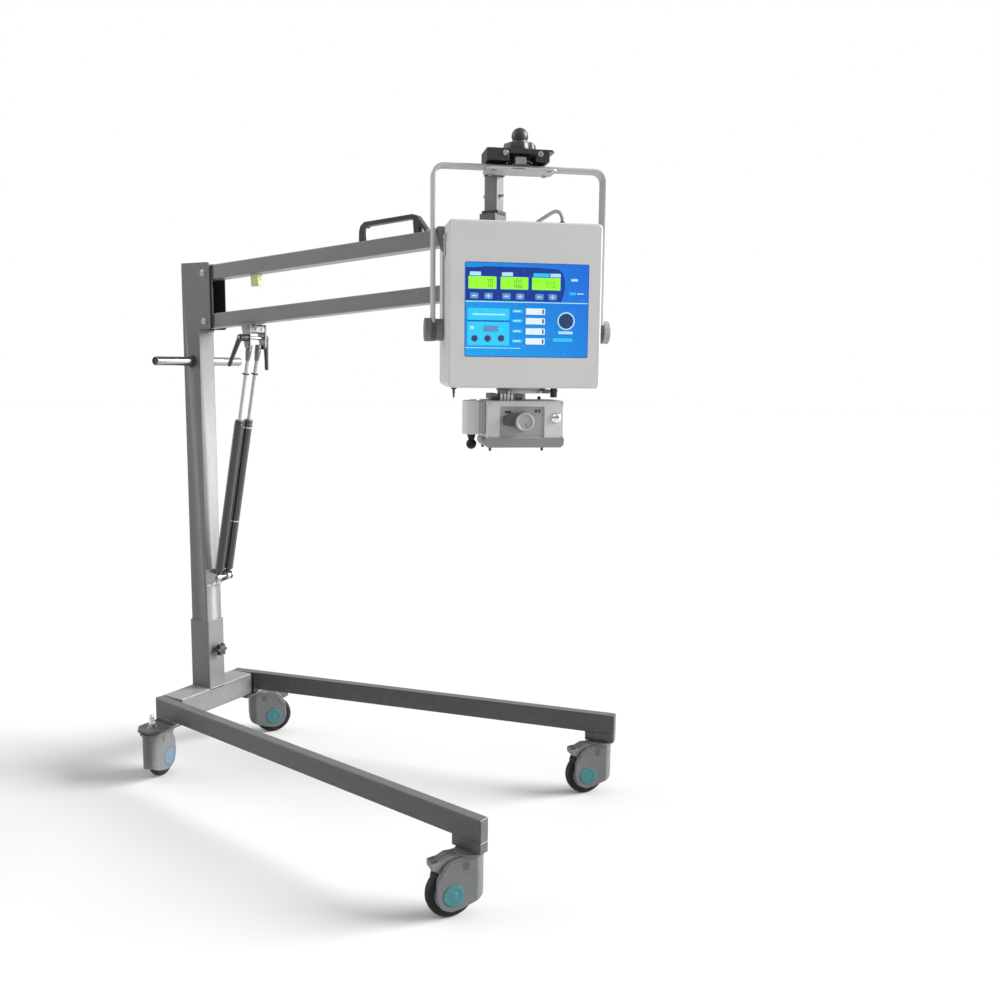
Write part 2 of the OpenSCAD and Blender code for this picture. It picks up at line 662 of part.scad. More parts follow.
module beam_housing() {
  color(CREAM) at_head() {
    difference() {
      union() {
        translate([20, -114, 1138]) cylinder(r = 27, h = 84);
        box([-7, -114, 1138], [47, -86, 1222]);
      }
      translate([20, -114, 1141]) cylinder(r = 24, h = 78);
      box([-4, -114, 1141], [44, -89, 1219]);
    }
    // small knob on the right side
    translate([10, 108, 1180]) rotate([-90, 0, 0]) cylinder(r = 21, h = 9);
  }
}
module beam_lever() {
  color(DARK) at_head() translate([20, -118, 0]) {
    translate([0, 0, 1120]) cylinder(r1 = 6, r2 = 11, h = 18);
    translate([0, 0, 1113]) sphere(r = 13);
  }
}
module field_knob() {
  color([0.62, 0.62, 0.63]) at_head() {
    translate([66.5, 5, 1171]) rotate([0, 90, 0]) cylinder(r = 24, h = 22);
    translate([68, 87, 1180]) rotate([0, 90, 0]) cylinder(r = 13, h = 7);
  }
}

cross_beam();
leg_left();
leg_right();
rear_plate_left();
rear_plate_right();
stem_left();
stem_right();
column_socket();
socket_knob();
fork_fl();
fork_fr();
fork_rl();
fork_rr();
wheel_fl();
wheel_fr();
wheel_rl();
wheel_rr();
column();
arm_liner();
push_handle();
handle_collars();
column_bolts();
spring_bracket();
upper_arm();
carry_handle();
level_vial();
lower_arm();
spring_clevis();
clamp_lever_left();
clamp_lever_right();
end_bracket();
end_post();
post_collar();
front_bolts();
cylinder_left();
cylinder_right();
rod_left();
rod_right();
top_bracket();
swivel_cap();
bail();
saddle_plate();
pan_stud();
top_knob();
front_shell();
rear_shell();
tube_block();
panel();
tilt_knob_left();
tilt_knob_right();
cable_gland();
cable();
turntable();
collimator();
beam_housing();
beam_lever();
field_knob();
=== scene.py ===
import json
from math import sin, cos, tan, pi, radians, atan2, sqrt

import bmesh
import bpy
import numpy as np
from mathutils import Matrix, Vector


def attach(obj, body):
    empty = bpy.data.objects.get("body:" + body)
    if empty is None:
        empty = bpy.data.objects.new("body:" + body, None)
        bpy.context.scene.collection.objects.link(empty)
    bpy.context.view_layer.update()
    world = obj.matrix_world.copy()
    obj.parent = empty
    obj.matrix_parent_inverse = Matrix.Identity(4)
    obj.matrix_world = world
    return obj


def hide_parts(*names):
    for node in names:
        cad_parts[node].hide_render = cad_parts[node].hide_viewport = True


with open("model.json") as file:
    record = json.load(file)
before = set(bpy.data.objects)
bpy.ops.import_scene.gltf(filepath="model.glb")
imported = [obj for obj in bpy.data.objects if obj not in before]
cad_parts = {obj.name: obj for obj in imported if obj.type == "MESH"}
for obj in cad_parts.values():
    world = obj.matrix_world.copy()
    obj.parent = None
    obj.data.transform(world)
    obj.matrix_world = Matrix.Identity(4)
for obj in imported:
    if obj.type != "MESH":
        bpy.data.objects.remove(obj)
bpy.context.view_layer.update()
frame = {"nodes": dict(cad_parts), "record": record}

SCENE = bpy.context.scene
T = Matrix.Translation
MM = Matrix.Scale(0.001, 4)


def R(axis, deg):
    return Matrix.Rotation(radians(deg), 4, axis)


# ------------------------------------------------------------------ frames, in millimetres
HEAD = T((1202, -110, 0)) @ R("Z", -51.5)
UP_Z, LOW_Z = 1584.0, 1436.0
TILT = 4.24
LEAN = 180 / pi * atan2(236 - 77, 1384 - 622)
SPRING = T((77, 0, 622)) @ R("Y", LEAN)
END_X, END_Z = 57 + 960 * cos(radians(TILT)), 1436 + 960 * sin(radians(TILT))
STEM_T = 1354 - 45.5


def LEG(s):
    return T((-45.7, s * 170, 0)) @ R("Z", s * 10.14)


def ARM(z):
    return T((57, 0, z)) @ R("Y", -TILT)


FX = -45.7 + STEM_T * cos(radians(10.14))
FY = 170 + STEM_T * sin(radians(10.14))
CAST = {
    "fl": T((FX, FY, 0)) @ R("Z", 48),
    "fr": T((FX, -FY, 0)) @ R("Z", 52),
    "rl": T((-5, 240, 0)) @ R("Z", 230),
    "rr": T((-5, -240, 0)) @ R("Z", -72),
}
BODY = {n: b for b, ns in frame["record"]["behaviour"]["bodies"].items() for n in ns}

# ------------------------------------------------------------------ camera
yaw, pitch, roll = radians(118.52), radians(7.67), radians(0.6)
d = Vector((cos(yaw) * cos(pitch), sin(yaw) * cos(pitch), -sin(pitch)))
right = Vector((sin(yaw), -cos(yaw), 0))
up = right.cross(d)
cr, sr = cos(roll), sin(roll)
ax = cr * right - sr * (-up)
ay = sr * right + cr * (-up)
cam_data = bpy.data.cameras.new("camera")
cam_data.sensor_width = 36
cam_data.sensor_fit = "AUTO"
cam_data.lens = 35.607
cam_data.clip_start = 0.05
cam_data.clip_end = 100
cam = bpy.data.objects.new("camera", cam_data)
SCENE.collection.objects.link(cam)
m3 = Matrix((ax, -ay, -d)).transposed()
cam.matrix_world = T((2.36842, -2.33865, 1.30487)) @ m3.to_4x4()
SCENE.camera = cam


# ------------------------------------------------------------------ materials
class Mat:
    """A small wrapper that builds a node material."""

    def __init__(s, name):
        s.m = bpy.data.materials.new(name)
        s.m.use_nodes = True
        s.t = s.m.node_tree
        s.b = s.t.nodes["Principled BSDF"]
        s.obj = s.node("ShaderNodeTexCoord").outputs["Object"]
        a = s.node("ShaderNodeAttribute", attribute_type="GEOMETRY", attribute_name="lp")
        s.lp = a.outputs["Vector"]

    def node(s, kind, ins=None, **props):
        n = s.t.nodes.new(kind)
        for k, v in props.items():
            setattr(n, k, v)
        for k, v in (ins or {}).items():
            sock = n.inputs[k]
            if isinstance(v, bpy.types.NodeSocket):
                s.t.links.new(v, sock)
            else:
                sock.default_value = v
        return n

    def put(s, **k):
        for name, v in k.items():
            sock = s.b.inputs[name.replace("_", " ")]
            if isinstance(v, bpy.types.NodeSocket):
                s.t.links.new(v, sock)
            else:
                sock.default_value = v

    def attr(s, name):
        return s.node("ShaderNodeAttribute", attribute_type="GEOMETRY", attribute_name=name).outputs["Fac"]

    def stretch(s, vec, scale):
        return s.node("ShaderNodeMapping", {"Vector": vec, "Scale": scale}).outputs[0]

    def noise(s, scale, detail=3.0, rough=0.5, vec=None, dist=0.0):
        return s.node("ShaderNodeTexNoise", {"Vector": vec or s.obj, "Scale": scale, "Detail": detail, "Roughness": rough, "Distortion": dist}).outputs["Fac"]

    def voronoi(s, scale, vec=None, feature="F1"):
        return s.node("ShaderNodeTexVoronoi", {"Vector": vec or s.obj, "Scale": scale}, feature=feature).outputs["Distance"]

    def rng(s, v, a, b, c=0.0, d=1.0):
        return s.node("ShaderNodeMapRange", {"Value": v, "From Min": a, "From Max": b, "To Min": c, "To Max": d}, clamp=True).outputs[0]

    def mix(s, fac, a, b, mode="MIX"):
        n = s.t.nodes.new("ShaderNodeMix")
        n.data_type = "RGBA"
        n.blend_type = mode
        for i, v in ((0, fac), (6, a), (7, b)):
            if isinstance(v, bpy.types.NodeSocket):
                s.t.links.new(v, n.inputs[i])
            else:
                n.inputs[i].default_value = v if i == 0 else (*v, 1)
        return n.outputs[2]

    def math(s, op, a, b=0.0):
        return s.node("ShaderNodeMath", {0: a, 1: b}, operation=op).outputs[0]

    def z(s, vec=None):
        return s.node("ShaderNodeSeparateXYZ", {0: vec or s.obj}).outputs[2]

    def xyz(s, vec):
        return s.node("ShaderNodeSeparateXYZ", {0: vec}).outputs

    def bump(s, *layers):
        normal = None
        for height, dist in layers:
            ins = {"Height": height, "Distance": dist, "Strength": 1.0}
            if normal is not None:
                ins["Normal"] = normal
            normal = s.node("ShaderNodeBump", ins).outputs[0]
        s.put(Normal=normal)


def sc(col, k):
    return tuple(min(1.0, c * k) for c in col)


def paint(name, col, rough=0.36, peel=620, depth=5e-5, grain=0.0, mottle=0.05, worn=0.5, under=(0.42, 0.42, 0.43), dust=0.0, coat=0.0, top=0.0):
    """Sprayed or powder-coated metal: orange peel, faint mottling, small chips on edges, dust low down; painted light
    makes the faces that point up lighter (top), and a painted highlight lightens all rounded edges.
    """
    M = Mat(name)
    big = M.rng(M.noise(5.5, 3, 0.55), 0.34, 0.66)
    c = M.mix(big, sc(col, 1 - mottle), sc(col, 1 + mottle))
    fleck = M.rng(M.noise(2600, 1, 0.5), 0.56, 0.74)
    c = M.mix(M.math("MULTIPLY", fleck, 0.30), c, sc(col, 1.35))
    smear = M.rng(M.noise(22, 4, 0.6, dist=1.2), 0.52, 0.74)
    c = M.mix(M.math("MULTIPLY", smear, 0.16), c, sc(col, 0.86))
    if dust:
        low = M.rng(M.z(), 0.30, 0.02, 0.0, 1.0)
        dn = M.rng(M.noise(48, 5, 0.65), 0.42, 0.72)
        c = M.mix(M.math("MULTIPLY", M.math("MULTIPLY", low, dn), dust), c, (0.36, 0.34, 0.31))
    # painted light: faces that point up are made lighter, as if lit from above, in uneven patches
    if top:
        up = M.rng(M.z(M.node("ShaderNodeNewGeometry").outputs["Normal"]), 0.72, 0.97, 0.0, top)
        top_light_patches = M.rng(M.noise(9, 4, 0.6), 0.3, 0.7, 0.85, 1.0)
        c = M.mix(M.math("MULTIPLY", up, top_light_patches), c, sc(col, 3.2))
    wear_and_sheen = M.attr("wear_and_sheen")
    chip = M.rng(M.noise(260, 4, 0.7), 0.60, 0.66)
    broad = M.rng(M.noise(30, 2, 0.5), 0.42, 0.66)
    chips = M.math("MULTIPLY", M.math("MULTIPLY", wear_and_sheen, chip), M.math("MULTIPLY", broad, worn))
    # painted highlight: every rounded convex edge is made a little lighter, as if catching light; the chips below are
    # real wear
    edge = M.math("MULTIPLY", wear_and_sheen, 0.10)
    c = M.mix(edge, c, sc(col, 1.5))
    c = M.mix(chips, c, under)
    rn = M.rng(M.noise(34, 4, 0.6), 0.3, 0.7, rough - 0.05, rough + 0.08)
    rn = M.math("ADD", rn, M.math("MULTIPLY", smear, 0.06))
    M.put(Base_Color=c, Roughness=rn, Coat_Weight=coat, Coat_Roughness=0.18, IOR=1.5)
    layers = [(M.noise(peel, 2, 0.5), depth), (M.math("SUBTRACT", 1.0, chips), 3e-5)]
    if grain:
        layers.append((M.noise(2300, 2, 0.6), grain))
    M.bump(*layers)
    return M.m


def steel(name, col, rough=0.30, along=(1, 1, 1), fine=900, depth=6e-6, smudge=0.10, spots=0.0):
    """Bare or plated metal, with grinding lines that run where the scale in `along` is small."""
    M = Mat(name)
    v = M.stretch(M.lp, tuple(a * fine for a in along))
    lines = M.noise(1.0, 3, 0.6, vec=v)
    wide = M.noise(0.13, 2, 0.5, vec=v)
    tone = M.rng(lines, 0.3, 0.7, 0.90, 1.04)
    big = M.rng(M.noise(16, 3), 0.35, 0.65)
    c = M.mix(big, sc(col, 0.93), sc(col, 1.03))
    c = M.mix(1.0, c, M.node("ShaderNodeCombineColor", {0: tone, 1: tone, 2: tone}).outputs[0], "MULTIPLY")
    if spots:
        sp = M.rng(M.noise(150, 4, 0.7), 0.62, 0.72, 0, spots)
        c = M.mix(sp, c, (0.10, 0.09, 0.08))
    r = M.rng(lines, 0.3, 0.7, rough - 0.05, rough + 0.07)
    r = M.math("ADD", r, M.rng(M.noise(40, 3, 0.6), 0.5, 0.75, 0, smudge))
    M.put(Base_Color=c, Metallic=1.0, Roughness=r)
    M.bump((lines, depth), (wide, depth * 2))
    return M.m


def plastic(name, col, rough=0.5, grain=1500, depth=1.6e-5, vary=0.08, scuff=0.12, spec=0.5, coat=0.0):
    """Moulded plastic with spark-eroded grain, scuffed on its edges."""
    M = Mat(name)
    big = M.rng(M.noise(14, 3, 0.5), 0.35, 0.65)
    c = M.mix(big, sc(col, 1 - vary), sc(col, 1 + vary))
    wear_and_sheen = M.attr("wear_and_sheen")
    sn = M.rng(M.noise(130, 5, 0.7, dist=0.6), 0.45, 0.7)
    lift = tuple(min(1, x + 0.10) for x in col)
    c = M.mix(M.math("MULTIPLY", M.math("MULTIPLY", wear_and_sheen, sn), 0.5), c, lift)
    c = M.mix(M.math("MULTIPLY", M.rng(M.noise(60, 5, 0.7, dist=2.0), 0.60, 0.72), scuff), c, lift)
    r = M.rng(M.noise(70, 4, 0.6), 0.3, 0.7, rough - 0.06, rough + 0.08)
    M.put(Base_Color=c, Roughness=r, Specular_IOR_Level=spec, Coat_Weight=coat, Coat_Roughness=0.1)
    M.bump((M.noise(grain, 2, 0.6), depth), (M.voronoi(grain * 0.7), depth * 0.6))
    return M.m


def rubber(name, col=(0.011, 0.011, 0.012), dust=(0.20, 0.025)):
    M = Mat(name)
    big = M.rng(M.noise(26, 4, 0.6), 0.35, 0.7)
    c = M.mix(big, sc(col, 0.8), sc(col, 1.5))
    dn = M.rng(M.noise(120, 5, 0.7), 0.45, 0.75)
    c = M.mix(M.math("MULTIPLY", dn, M.math("ADD", M.math("MULTIPLY", M.attr("tread"), dust[0]), dust[1])), c, (0.20, 0.19, 0.17))
    M.put(Base_Color=c, Roughness=M.rng(M.noise(50, 4), 0.3, 0.7, 0.66, 0.84), Specular_IOR_Level=0.22)
    M.bump((M.noise(900, 3, 0.6), 3e-5), (M.noise(150, 4, 0.6), 4e-5))
    return M.m


def film(name, top, low, rough=0.22):
    """Printed membrane: a smooth change of blue from one side to the other, under a glossy film."""
    M = Mat(name)
    x, y, z = M.xyz(M.lp)
    f = M.math("ADD", M.rng(y, -0.15, 0.16, 0.0, 0.62), M.rng(z, 1.33, 1.56, 0.0, 0.38))
    c = M.mix(f, top, low)
    c = M.mix(M.math("MULTIPLY", M.rng(M.noise(30, 2), 0.3, 0.7), 0.07), c, sc(low, 1.3))
    dots = M.rng(M.noise(1500, 1), 0.5, 0.7, 0, 0.05)
    c = M.mix(dots, c, (1, 1, 1))
    M.put(Base_Color=c, Roughness=M.rng(M.noise(80, 4, 0.6), 0.3, 0.7, rough - 0.04, rough + 0.08), Specular_IOR_Level=0.35, Coat_Weight=0.08, Coat_Roughness=0.12)
    M.bump((M.noise(1100, 2, 0.5), 6e-6))
    return M.m


def glow(name, col, strength, cell=0.0):
    """Back-lit display glass, with its faint cell pattern."""
    M = Mat(name)
    n = M.rng(M.noise(22, 2), 0.3, 0.7)
    c = M.mix(n, sc(col, 0.88), sc(col, 1.08))
    if cell:
        c = M.mix(M.math("MULTIPLY", M.rng(M.voronoi(cell), 0.2, 0.6), 0.10), c, sc(col, 0.6))
    M.put(Base_Color=c, Roughness=M.rng(M.noise(60, 3), 0.3, 0.7, 0.16, 0.28), Emission_Color=c, Emission_Strength=strength)
    M.bump((M.noise(700, 2), 5e-6))
    return M.m


def clear(name, col, rough=0.06):
    M = Mat(name)
    c = M.mix(M.rng(M.noise(60, 3), 0.3, 0.7), sc(col, 0.94), col)
    M.put(Base_Color=c, Roughness=M.rng(M.noise(140, 4, 0.6), 0.4, 0.7, rough, rough + 0.12), Transmission_Weight=0.85, IOR=1.49)
    M.bump((M.noise(420, 3), 1e-5))
    return M.m


GREY = (0.120, 0.120, 0.123)
HEADC = (0.50, 0.495, 0.485)
MAT = {
    # painted light and shade: the stand is one grey paint, but its parts get lit or shaded copies of it (arms and post
    # lighter, column a little darker, base much darker), and top lightens the faces that point up
    "paint": paint("stand_paint", GREY, rough=0.34, depth=5e-5, coat=0.12, top=0.35),
    "col_paint_shaded": paint("column_paint_shaded", sc(GREY, 0.92), rough=0.34, depth=5e-5, coat=0.12),
    "arm_paint_lit": paint("arm_paint_lit", sc(GREY, 1.30), rough=0.34, depth=5e-5, coat=0.12, top=0.40),
    "post_paint_lit": paint("post_paint_lit", sc(GREY, 1.45), rough=0.34, depth=5e-5, coat=0.12, top=0.30),
    "base_paint_shaded": paint("base_paint_shaded", sc(GREY, 0.36), rough=0.33, depth=5e-5, dust=0.16, coat=0.12, top=0.85),
    "beam_paint": paint("beam_paint", sc(GREY, 0.98), rough=0.33, depth=5e-5, dust=0.24, coat=0.12, top=0.60),
    "head": paint("head_enamel", HEADC, rough=0.42, peel=900, depth=4e-5, grain=8e-6, mottle=0.02, worn=0.2, under=(0.5, 0.5, 0.49)),
    "head_low": paint("head_enamel_dark", sc(HEADC, 0.40), rough=0.46, peel=900, depth=4e-5, grain=8e-6, mottle=0.03, worn=0.2),
    "bail": paint("bail_enamel", sc(HEADC, 0.80), rough=0.40, peel=800, depth=4e-5, mottle=0.03, worn=0.5),
    "black": paint("black_coat", (0.022, 0.022, 0.024), rough=0.34, peel=800, depth=4e-5, mottle=0.12, worn=0.7, under=(0.25, 0.25, 0.25)),
    "gloss": paint("black_gloss", (0.012, 0.012, 0.013), rough=0.20, peel=400, depth=2e-5, mottle=0.10, worn=0.4, coat=0.5),
    "steel": steel("brushed_steel", (0.33, 0.33, 0.335), 0.26, along=(0.06, 1, 1)),
    "cast": steel("cast_clevis", (0.17, 0.17, 0.175), 0.46, along=(0.7, 0.7, 0.7), fine=300, depth=2.5e-5, smudge=0.16),
    "zinc": steel("zinc_plate", (0.50, 0.505, 0.51), 0.34, along=(0.4, 0.4, 0.4), fine=500, spots=0.25),
    "chrome": steel("chrome_plate", (0.37, 0.37, 0.38), 0.16, along=(1, 0.05, 1), fine=700, depth=1.5e-6, smudge=0.14),
    "rod": steel("rod_chrome", (0.36, 0.36, 0.37), 0.16, along=(1, 1, 0.05), fine=800, depth=1.5e-6, smudge=0.10),
    "dark": plastic("black_plastic", (0.020, 0.020, 0.021), 0.42),
    "bright": steel("bright_plate", (0.74, 0.74, 0.75), 0.14, along=(0.5, 0.5, 0.5), fine=400, depth=2e-6, smudge=0.08),
    "white": paint("white_enamel", (0.72, 0.72, 0.71), rough=0.34, peel=800, depth=3e-5, mottle=0.02, worn=0.1, coat=0.2),
    "grey": plastic("grey_plastic", (0.135, 0.136, 0.140), 0.46),
    "slate": plastic("slate_plastic", (0.052, 0.053, 0.056), 0.46),
    "mid": plastic("mid_plastic", (0.28, 0.28, 0.285), 0.46),
    "pale": plastic("pale_plastic", (0.50, 0.50, 0.51), 0.42),
    "fork": plastic("fork_plastic", (0.100, 0.102, 0.107), 0.44, grain=900, depth=2.2e-5),
    "teal": plastic("teal_plastic", (0.030, 0.140, 0.150), 0.50, grain=1100, spec=0.35),
    "blue": plastic("blue_plastic", (0.075, 0.135, 0.20), 0.46, grain=1100, spec=0.35),
    "ball": plastic("ball_plastic", (0.004, 0.004, 0.005), 0.34, grain=500, depth=5e-6, scuff=0.03, spec=0.22),
    "hub": plastic("hub_plastic", (0.30, 0.30, 0.31), 0.45),
    "tyre": rubber("tyre_rubber"),
    "gasket": rubber("gasket_rubber", (0.05, 0.05, 0.05)),
    "cable": plastic("cable_sheath", (0.30, 0.30, 0.30), 0.38, grain=700, depth=1e-5),
    "film": film("panel_film", (0.0, 0.36, 0.82), (0.002, 0.125, 0.66)),
    "film_cyan": film("panel_cyan", (0.02, 0.62, 0.92), (0.02, 0.48, 0.90)),
    "film_navy": film("panel_navy", (0.002, 0.022, 0.26), (0.002, 0.040, 0.32)),
    "film_pale": film("panel_pale", (0.45, 0.80, 0.95), (0.40, 0.72, 0.95)),
    "film_edge": film("panel_edge", (0.008, 0.13, 0.50), (0.010, 0.09, 0.46)),
    "film_slate": film("panel_slate", (0.10, 0.26, 0.55), (0.12, 0.28, 0.58)),
    "lcd": glow("lcd_glass", (0.26, 0.86, 0.03), 0.32, 2600),
    "segs": plastic("lcd_segments", (0.06, 0.20, 0.03), 0.3),
    "key": plastic("white_keys", (0.72, 0.84, 0.92), 0.32),
    "navy": plastic("navy_keys", (0.015, 0.045, 0.16), 0.28, coat=0.3),
    "vial": plastic("vial_acrylic", (0.50, 0.52, 0.26), 0.16, grain=500, depth=4e-6, coat=0.4),
    "spirit": plastic("vial_liquid", (0.50, 0.68, 0.08), 0.08, grain=300, depth=3e-6, coat=0.6),
    "glass": clear("window_acrylic", (0.90, 0.92, 0.93)),
    "iron": paint("cast_block", (0.10, 0.10, 0.10), rough=0.6, peel=200, depth=2e-4, mottle=0.2),
}


# ------------------------------------------------------------------ shapes
def bevel(bm, edges, w, seg=3):
    edges = list(edges)
    if edges and w > 0:
        bmesh.ops.bevel(bm, geom=edges, offset=w, offset_type="OFFSET", segments=seg, profile=0.5, affect="EDGES", clamp_overlap=True)


def sharp(bm, deg=28, pick=None):
    lim = radians(deg)
    out = []
    for e in bm.edges:
        if len(e.link_faces) == 2 and e.calc_face_angle(0) > lim and (pick is None or pick(e)):
            out.append(e)
    return out


def rpoly(pts, r, n=5, closed=True):
    """The outline with its corners rounded; a point may carry its own radius as a third number."""
    out = []
    N = len(pts)
    for i, q in enumerate(pts):
        rr = q[2] if len(q) > 2 else r
        p = Vector(q[:2])
        if (not closed and i in (0, N - 1)) or rr <= 0:
            out.append(tuple(p))
            continue
        u = Vector(pts[i - 1][:2]) - p
        v = Vector(pts[(i + 1) % N][:2]) - p
        lu, lv = u.length, v.length
        u.normalize(), v.normalize()
        ang = u.angle(v)
        if ang > pi - 0.03:
            out.append(tuple(p))
            continue
        t = min(rr / tan(ang / 2), lu * 0.49, lv * 0.49)
        rad = t * tan(ang / 2)
        c = p + (u + v).normalized() * (rad / sin(ang / 2))
        p0, p1 = p + u * t - c, p + v * t - c
        a0, a1 = atan2(p0.y, p0.x), atan2(p1.y, p1.x)
        da = (a1 - a0 + pi) % (2 * pi) - pi
        for k in range(n + 1):
            a = a0 + da * k / n
            out.append((c.x + rad * cos(a), c.y + rad * sin(a)))
    return out


def circ(r, n=32, cx=0.0, cy=0.0, a0=0.0, a1=360.0):
    full = abs(a1 - a0) >= 359.9
    k = n if full else n + 1
    return [(cx + r * cos(radians(a0 + (a1 - a0) * i / n)), cy + r * sin(radians(a0 + (a1 - a0) * i / n))) for i in range(k)]


def rrect(w, h, r, n=5, cx=0.0, cy=0.0):
    return [(cx + x, cy + y) for x, y in rpoly([(-w / 2, -h / 2), (w / 2, -h / 2), (w / 2, h / 2), (-w / 2, h / 2)], r, n)]


def rbox2(x0, y0, x1, y1, r, n=4):
    return rrect(x1 - x0, y1 - y0, r, n, (x0 + x1) / 2, (y0 + y1) / 2)


PLANES = {
    "xy": lambda a, b, h: (a, b, h),
    "xz": lambda a, b, h: (a, h, b),
    "yz": lambda a, b, h: (h, a, b),
}


class G:
    """Collects closed meshes, in millimetres, in a local frame M."""

    def __init__(s, M=None):
        s.bm = bmesh.new()
        s.M = M or Matrix()

    def take(s, bm, mat=0, X=None, keep=False):
        bmesh.ops.recalc_face_normals(bm, faces=bm.faces)
        if X is not None:
            bmesh.ops.transform(bm, matrix=X, verts=bm.verts)
            if X.determinant() < 0:
                bmesh.ops.reverse_faces(bm, faces=bm.faces)
        if not keep:
            for f in bm.faces:
                f.material_index = mat
        me = bpy.data.meshes.new("tmp")
        bm.to_mesh(me)
        bm.free()
        s.bm.from_mesh(me)
        bpy.data.meshes.remove(me)
        return s

    def add(s, other, X=None):
        """Joins another collection, in its own material numbers."""
        return s.take(other.bm.copy(), X=X, keep=True)

    def box(s, a, b, r=0.0, seg=3, mat=0, X=None, pick=None):
        bm = bmesh.new()
        bmesh.ops.create_cube(bm, size=1)
        for v in bm.verts:
            v.co = Vector([(a[i] + b[i]) / 2 + v.co[i] * (b[i] - a[i]) for i in range(3)])
        bevel(bm, [e for e in bm.edges if pick is None or pick(e)], r, seg)
        return s.take(bm, mat, X)

    def prism(s, pts, h0, h1, plane="xy", r=0.0, seg=3, mat=0, X=None, deg=28, rims=(True, True)):
        f = PLANES[plane]
        bm = bmesh.new()
        lo = [bm.verts.new(f(x, y, h0)) for x, y in pts]
        hi = [bm.verts.new(f(x, y, h1)) for x, y in pts]
        bm.faces.new(lo)
        bm.faces.new(hi)
        n = len(pts)
        for i in range(n):
            bm.faces.new((lo[i], lo[(i + 1) % n], hi[(i + 1) % n], hi[i]))
        bmesh.ops.recalc_face_normals(bm, faces=bm.faces)
        if r:
            los, his = set(lo), set(hi)
            edges = []
            for e in sharp(bm, deg):
                a, b = e.verts
                if a in los and b in los and not rims[0]:
                    continue
                if a in his and b in his and not rims[1]:
                    continue
                edges.append(e)
            bevel(bm, edges, r, seg)
        return s.take(bm, mat, X)

    def lathe(s, prof, X=None, n=48, mat=0, closed=False, mats=None):
        """Turns (radius, height) pairs about local Z. mats gives a material for each step of the profile."""
        bm = bmesh.new()
        rings = []
        for r, h in prof:
            if r < 1e-6:
                rings.append([bm.verts.new((0, 0, h))])
            else:
                rings.append([bm.verts.new((r * cos(2 * pi * k / n), r * sin(2 * pi * k / n), h)) for k in range(n)])
        m = len(prof)
        for i in range(m if closed else m - 1):
            a, b = rings[i], rings[(i + 1) % m]
            mi = mats[i] if mats else mat
            for k in range(n):
                k2 = (k + 1) % n
                if len(a) == 1 and len(b) == 1:
                    continue
                if len(a) == 1:
                    f = bm.faces.new((a[0], b[k], b[k2]))
                elif len(b) == 1:
                    f = bm.faces.new((a[k], a[k2], b[0]))
                else:
                    f = bm.faces.new((a[k], a[k2], b[k2], b[k]))
                f.material_index = mi
        return s.take(bm, mat, X, keep=True)

    def tube(s, path, r, n=16, mat=0, X=None, shape=None, up=None, ends=True):
        """Sweeps a circle of radius r (a number or one for each point), or a closed 2-D shape, along the path."""
        P = [Vector(p) for p in path]
        bm = bmesh.new()
        rings = []
        u = Vector(up) if up else None
        for i, p in enumerate(P):
            t = (P[min(i + 1, len(P) - 1)] - P[max(i - 1, 0)]).normalized()
            if u is None:
                u = t.orthogonal().normalized()
            u = (u - t * u.dot(t)).normalized()
            v = t.cross(u)
            rr = r[i] if isinstance(r, (list, tuple)) else r
            if shape is None:
                ring = [p + rr * (cos(2 * pi * k / n) * u + sin(2 * pi * k / n) * v) for k in range(n)]
            else:
                ring = [p + a * u + b * v for a, b in shape]
            rings.append([bm.verts.new(q) for q in ring])
        for a, b in zip(rings, rings[1:]):
            m = len(a)
            for k in range(m):
                bm.faces.new((a[k], a[(k + 1) % m], b[(k + 1) % m], b[k]))
        if ends:
            bm.faces.new(rings[0])
            bm.faces.new(rings[-1])
        return s.take(bm, mat, X)

    def ball(s, c, r, mat=0, u=32, v=20, X=None):
        bm = bmesh.new()
        bmesh.ops.create_uvsphere(bm, u_segments=u, v_segments=v, radius=r)
        bmesh.ops.translate(bm, verts=bm.verts, vec=Vector(c))
        return s.take(bm, mat, X)

    def plate(s, outer, holes, h0, h1, plane="xy", r=0.5, res=2, mat=0, X=None):
        """A flat plate with holes; its edges are rounded by r."""
        cu = bpy.data.curves.new("tmp", "CURVE")
        cu.dimensions = "2D"
        cu.fill_mode = "BOTH"
        for pts in [outer] + list(holes):
            sp = cu.splines.new("POLY")
            sp.points.add(len(pts) - 1)
            for q, (x, y) in zip(sp.points, pts):
                q.co = (x, y, 0, 1)
            sp.use_cyclic_u = True
        cu.extrude = max((h1 - h0) / 2 - r, 0)
        cu.bevel_depth = r
        cu.bevel_resolution = res
        cu.offset = -r
        ob = bpy.data.objects.new("tmp", cu)
        SCENE.collection.objects.link(ob)
        bpy.context.view_layer.update()
        me = bpy.data.meshes.new_from_object(ob.evaluated_get(bpy.context.evaluated_depsgraph_get()))
        bpy.data.objects.remove(ob)
        bpy.data.curves.remove(cu)
        bm = bmesh.new()
        bm.from_mesh(me)
        bpy.data.meshes.remove(me)
        bmesh.ops.remove_doubles(bm, verts=bm.verts, dist=0.01)
        f = PLANES[plane]
        mid = (h0 + h1) / 2
        for v in bm.verts:
            v.co = Vector(f(v.co.x, v.co.y, v.co.z + mid))
        return s.take(bm, mat, X)

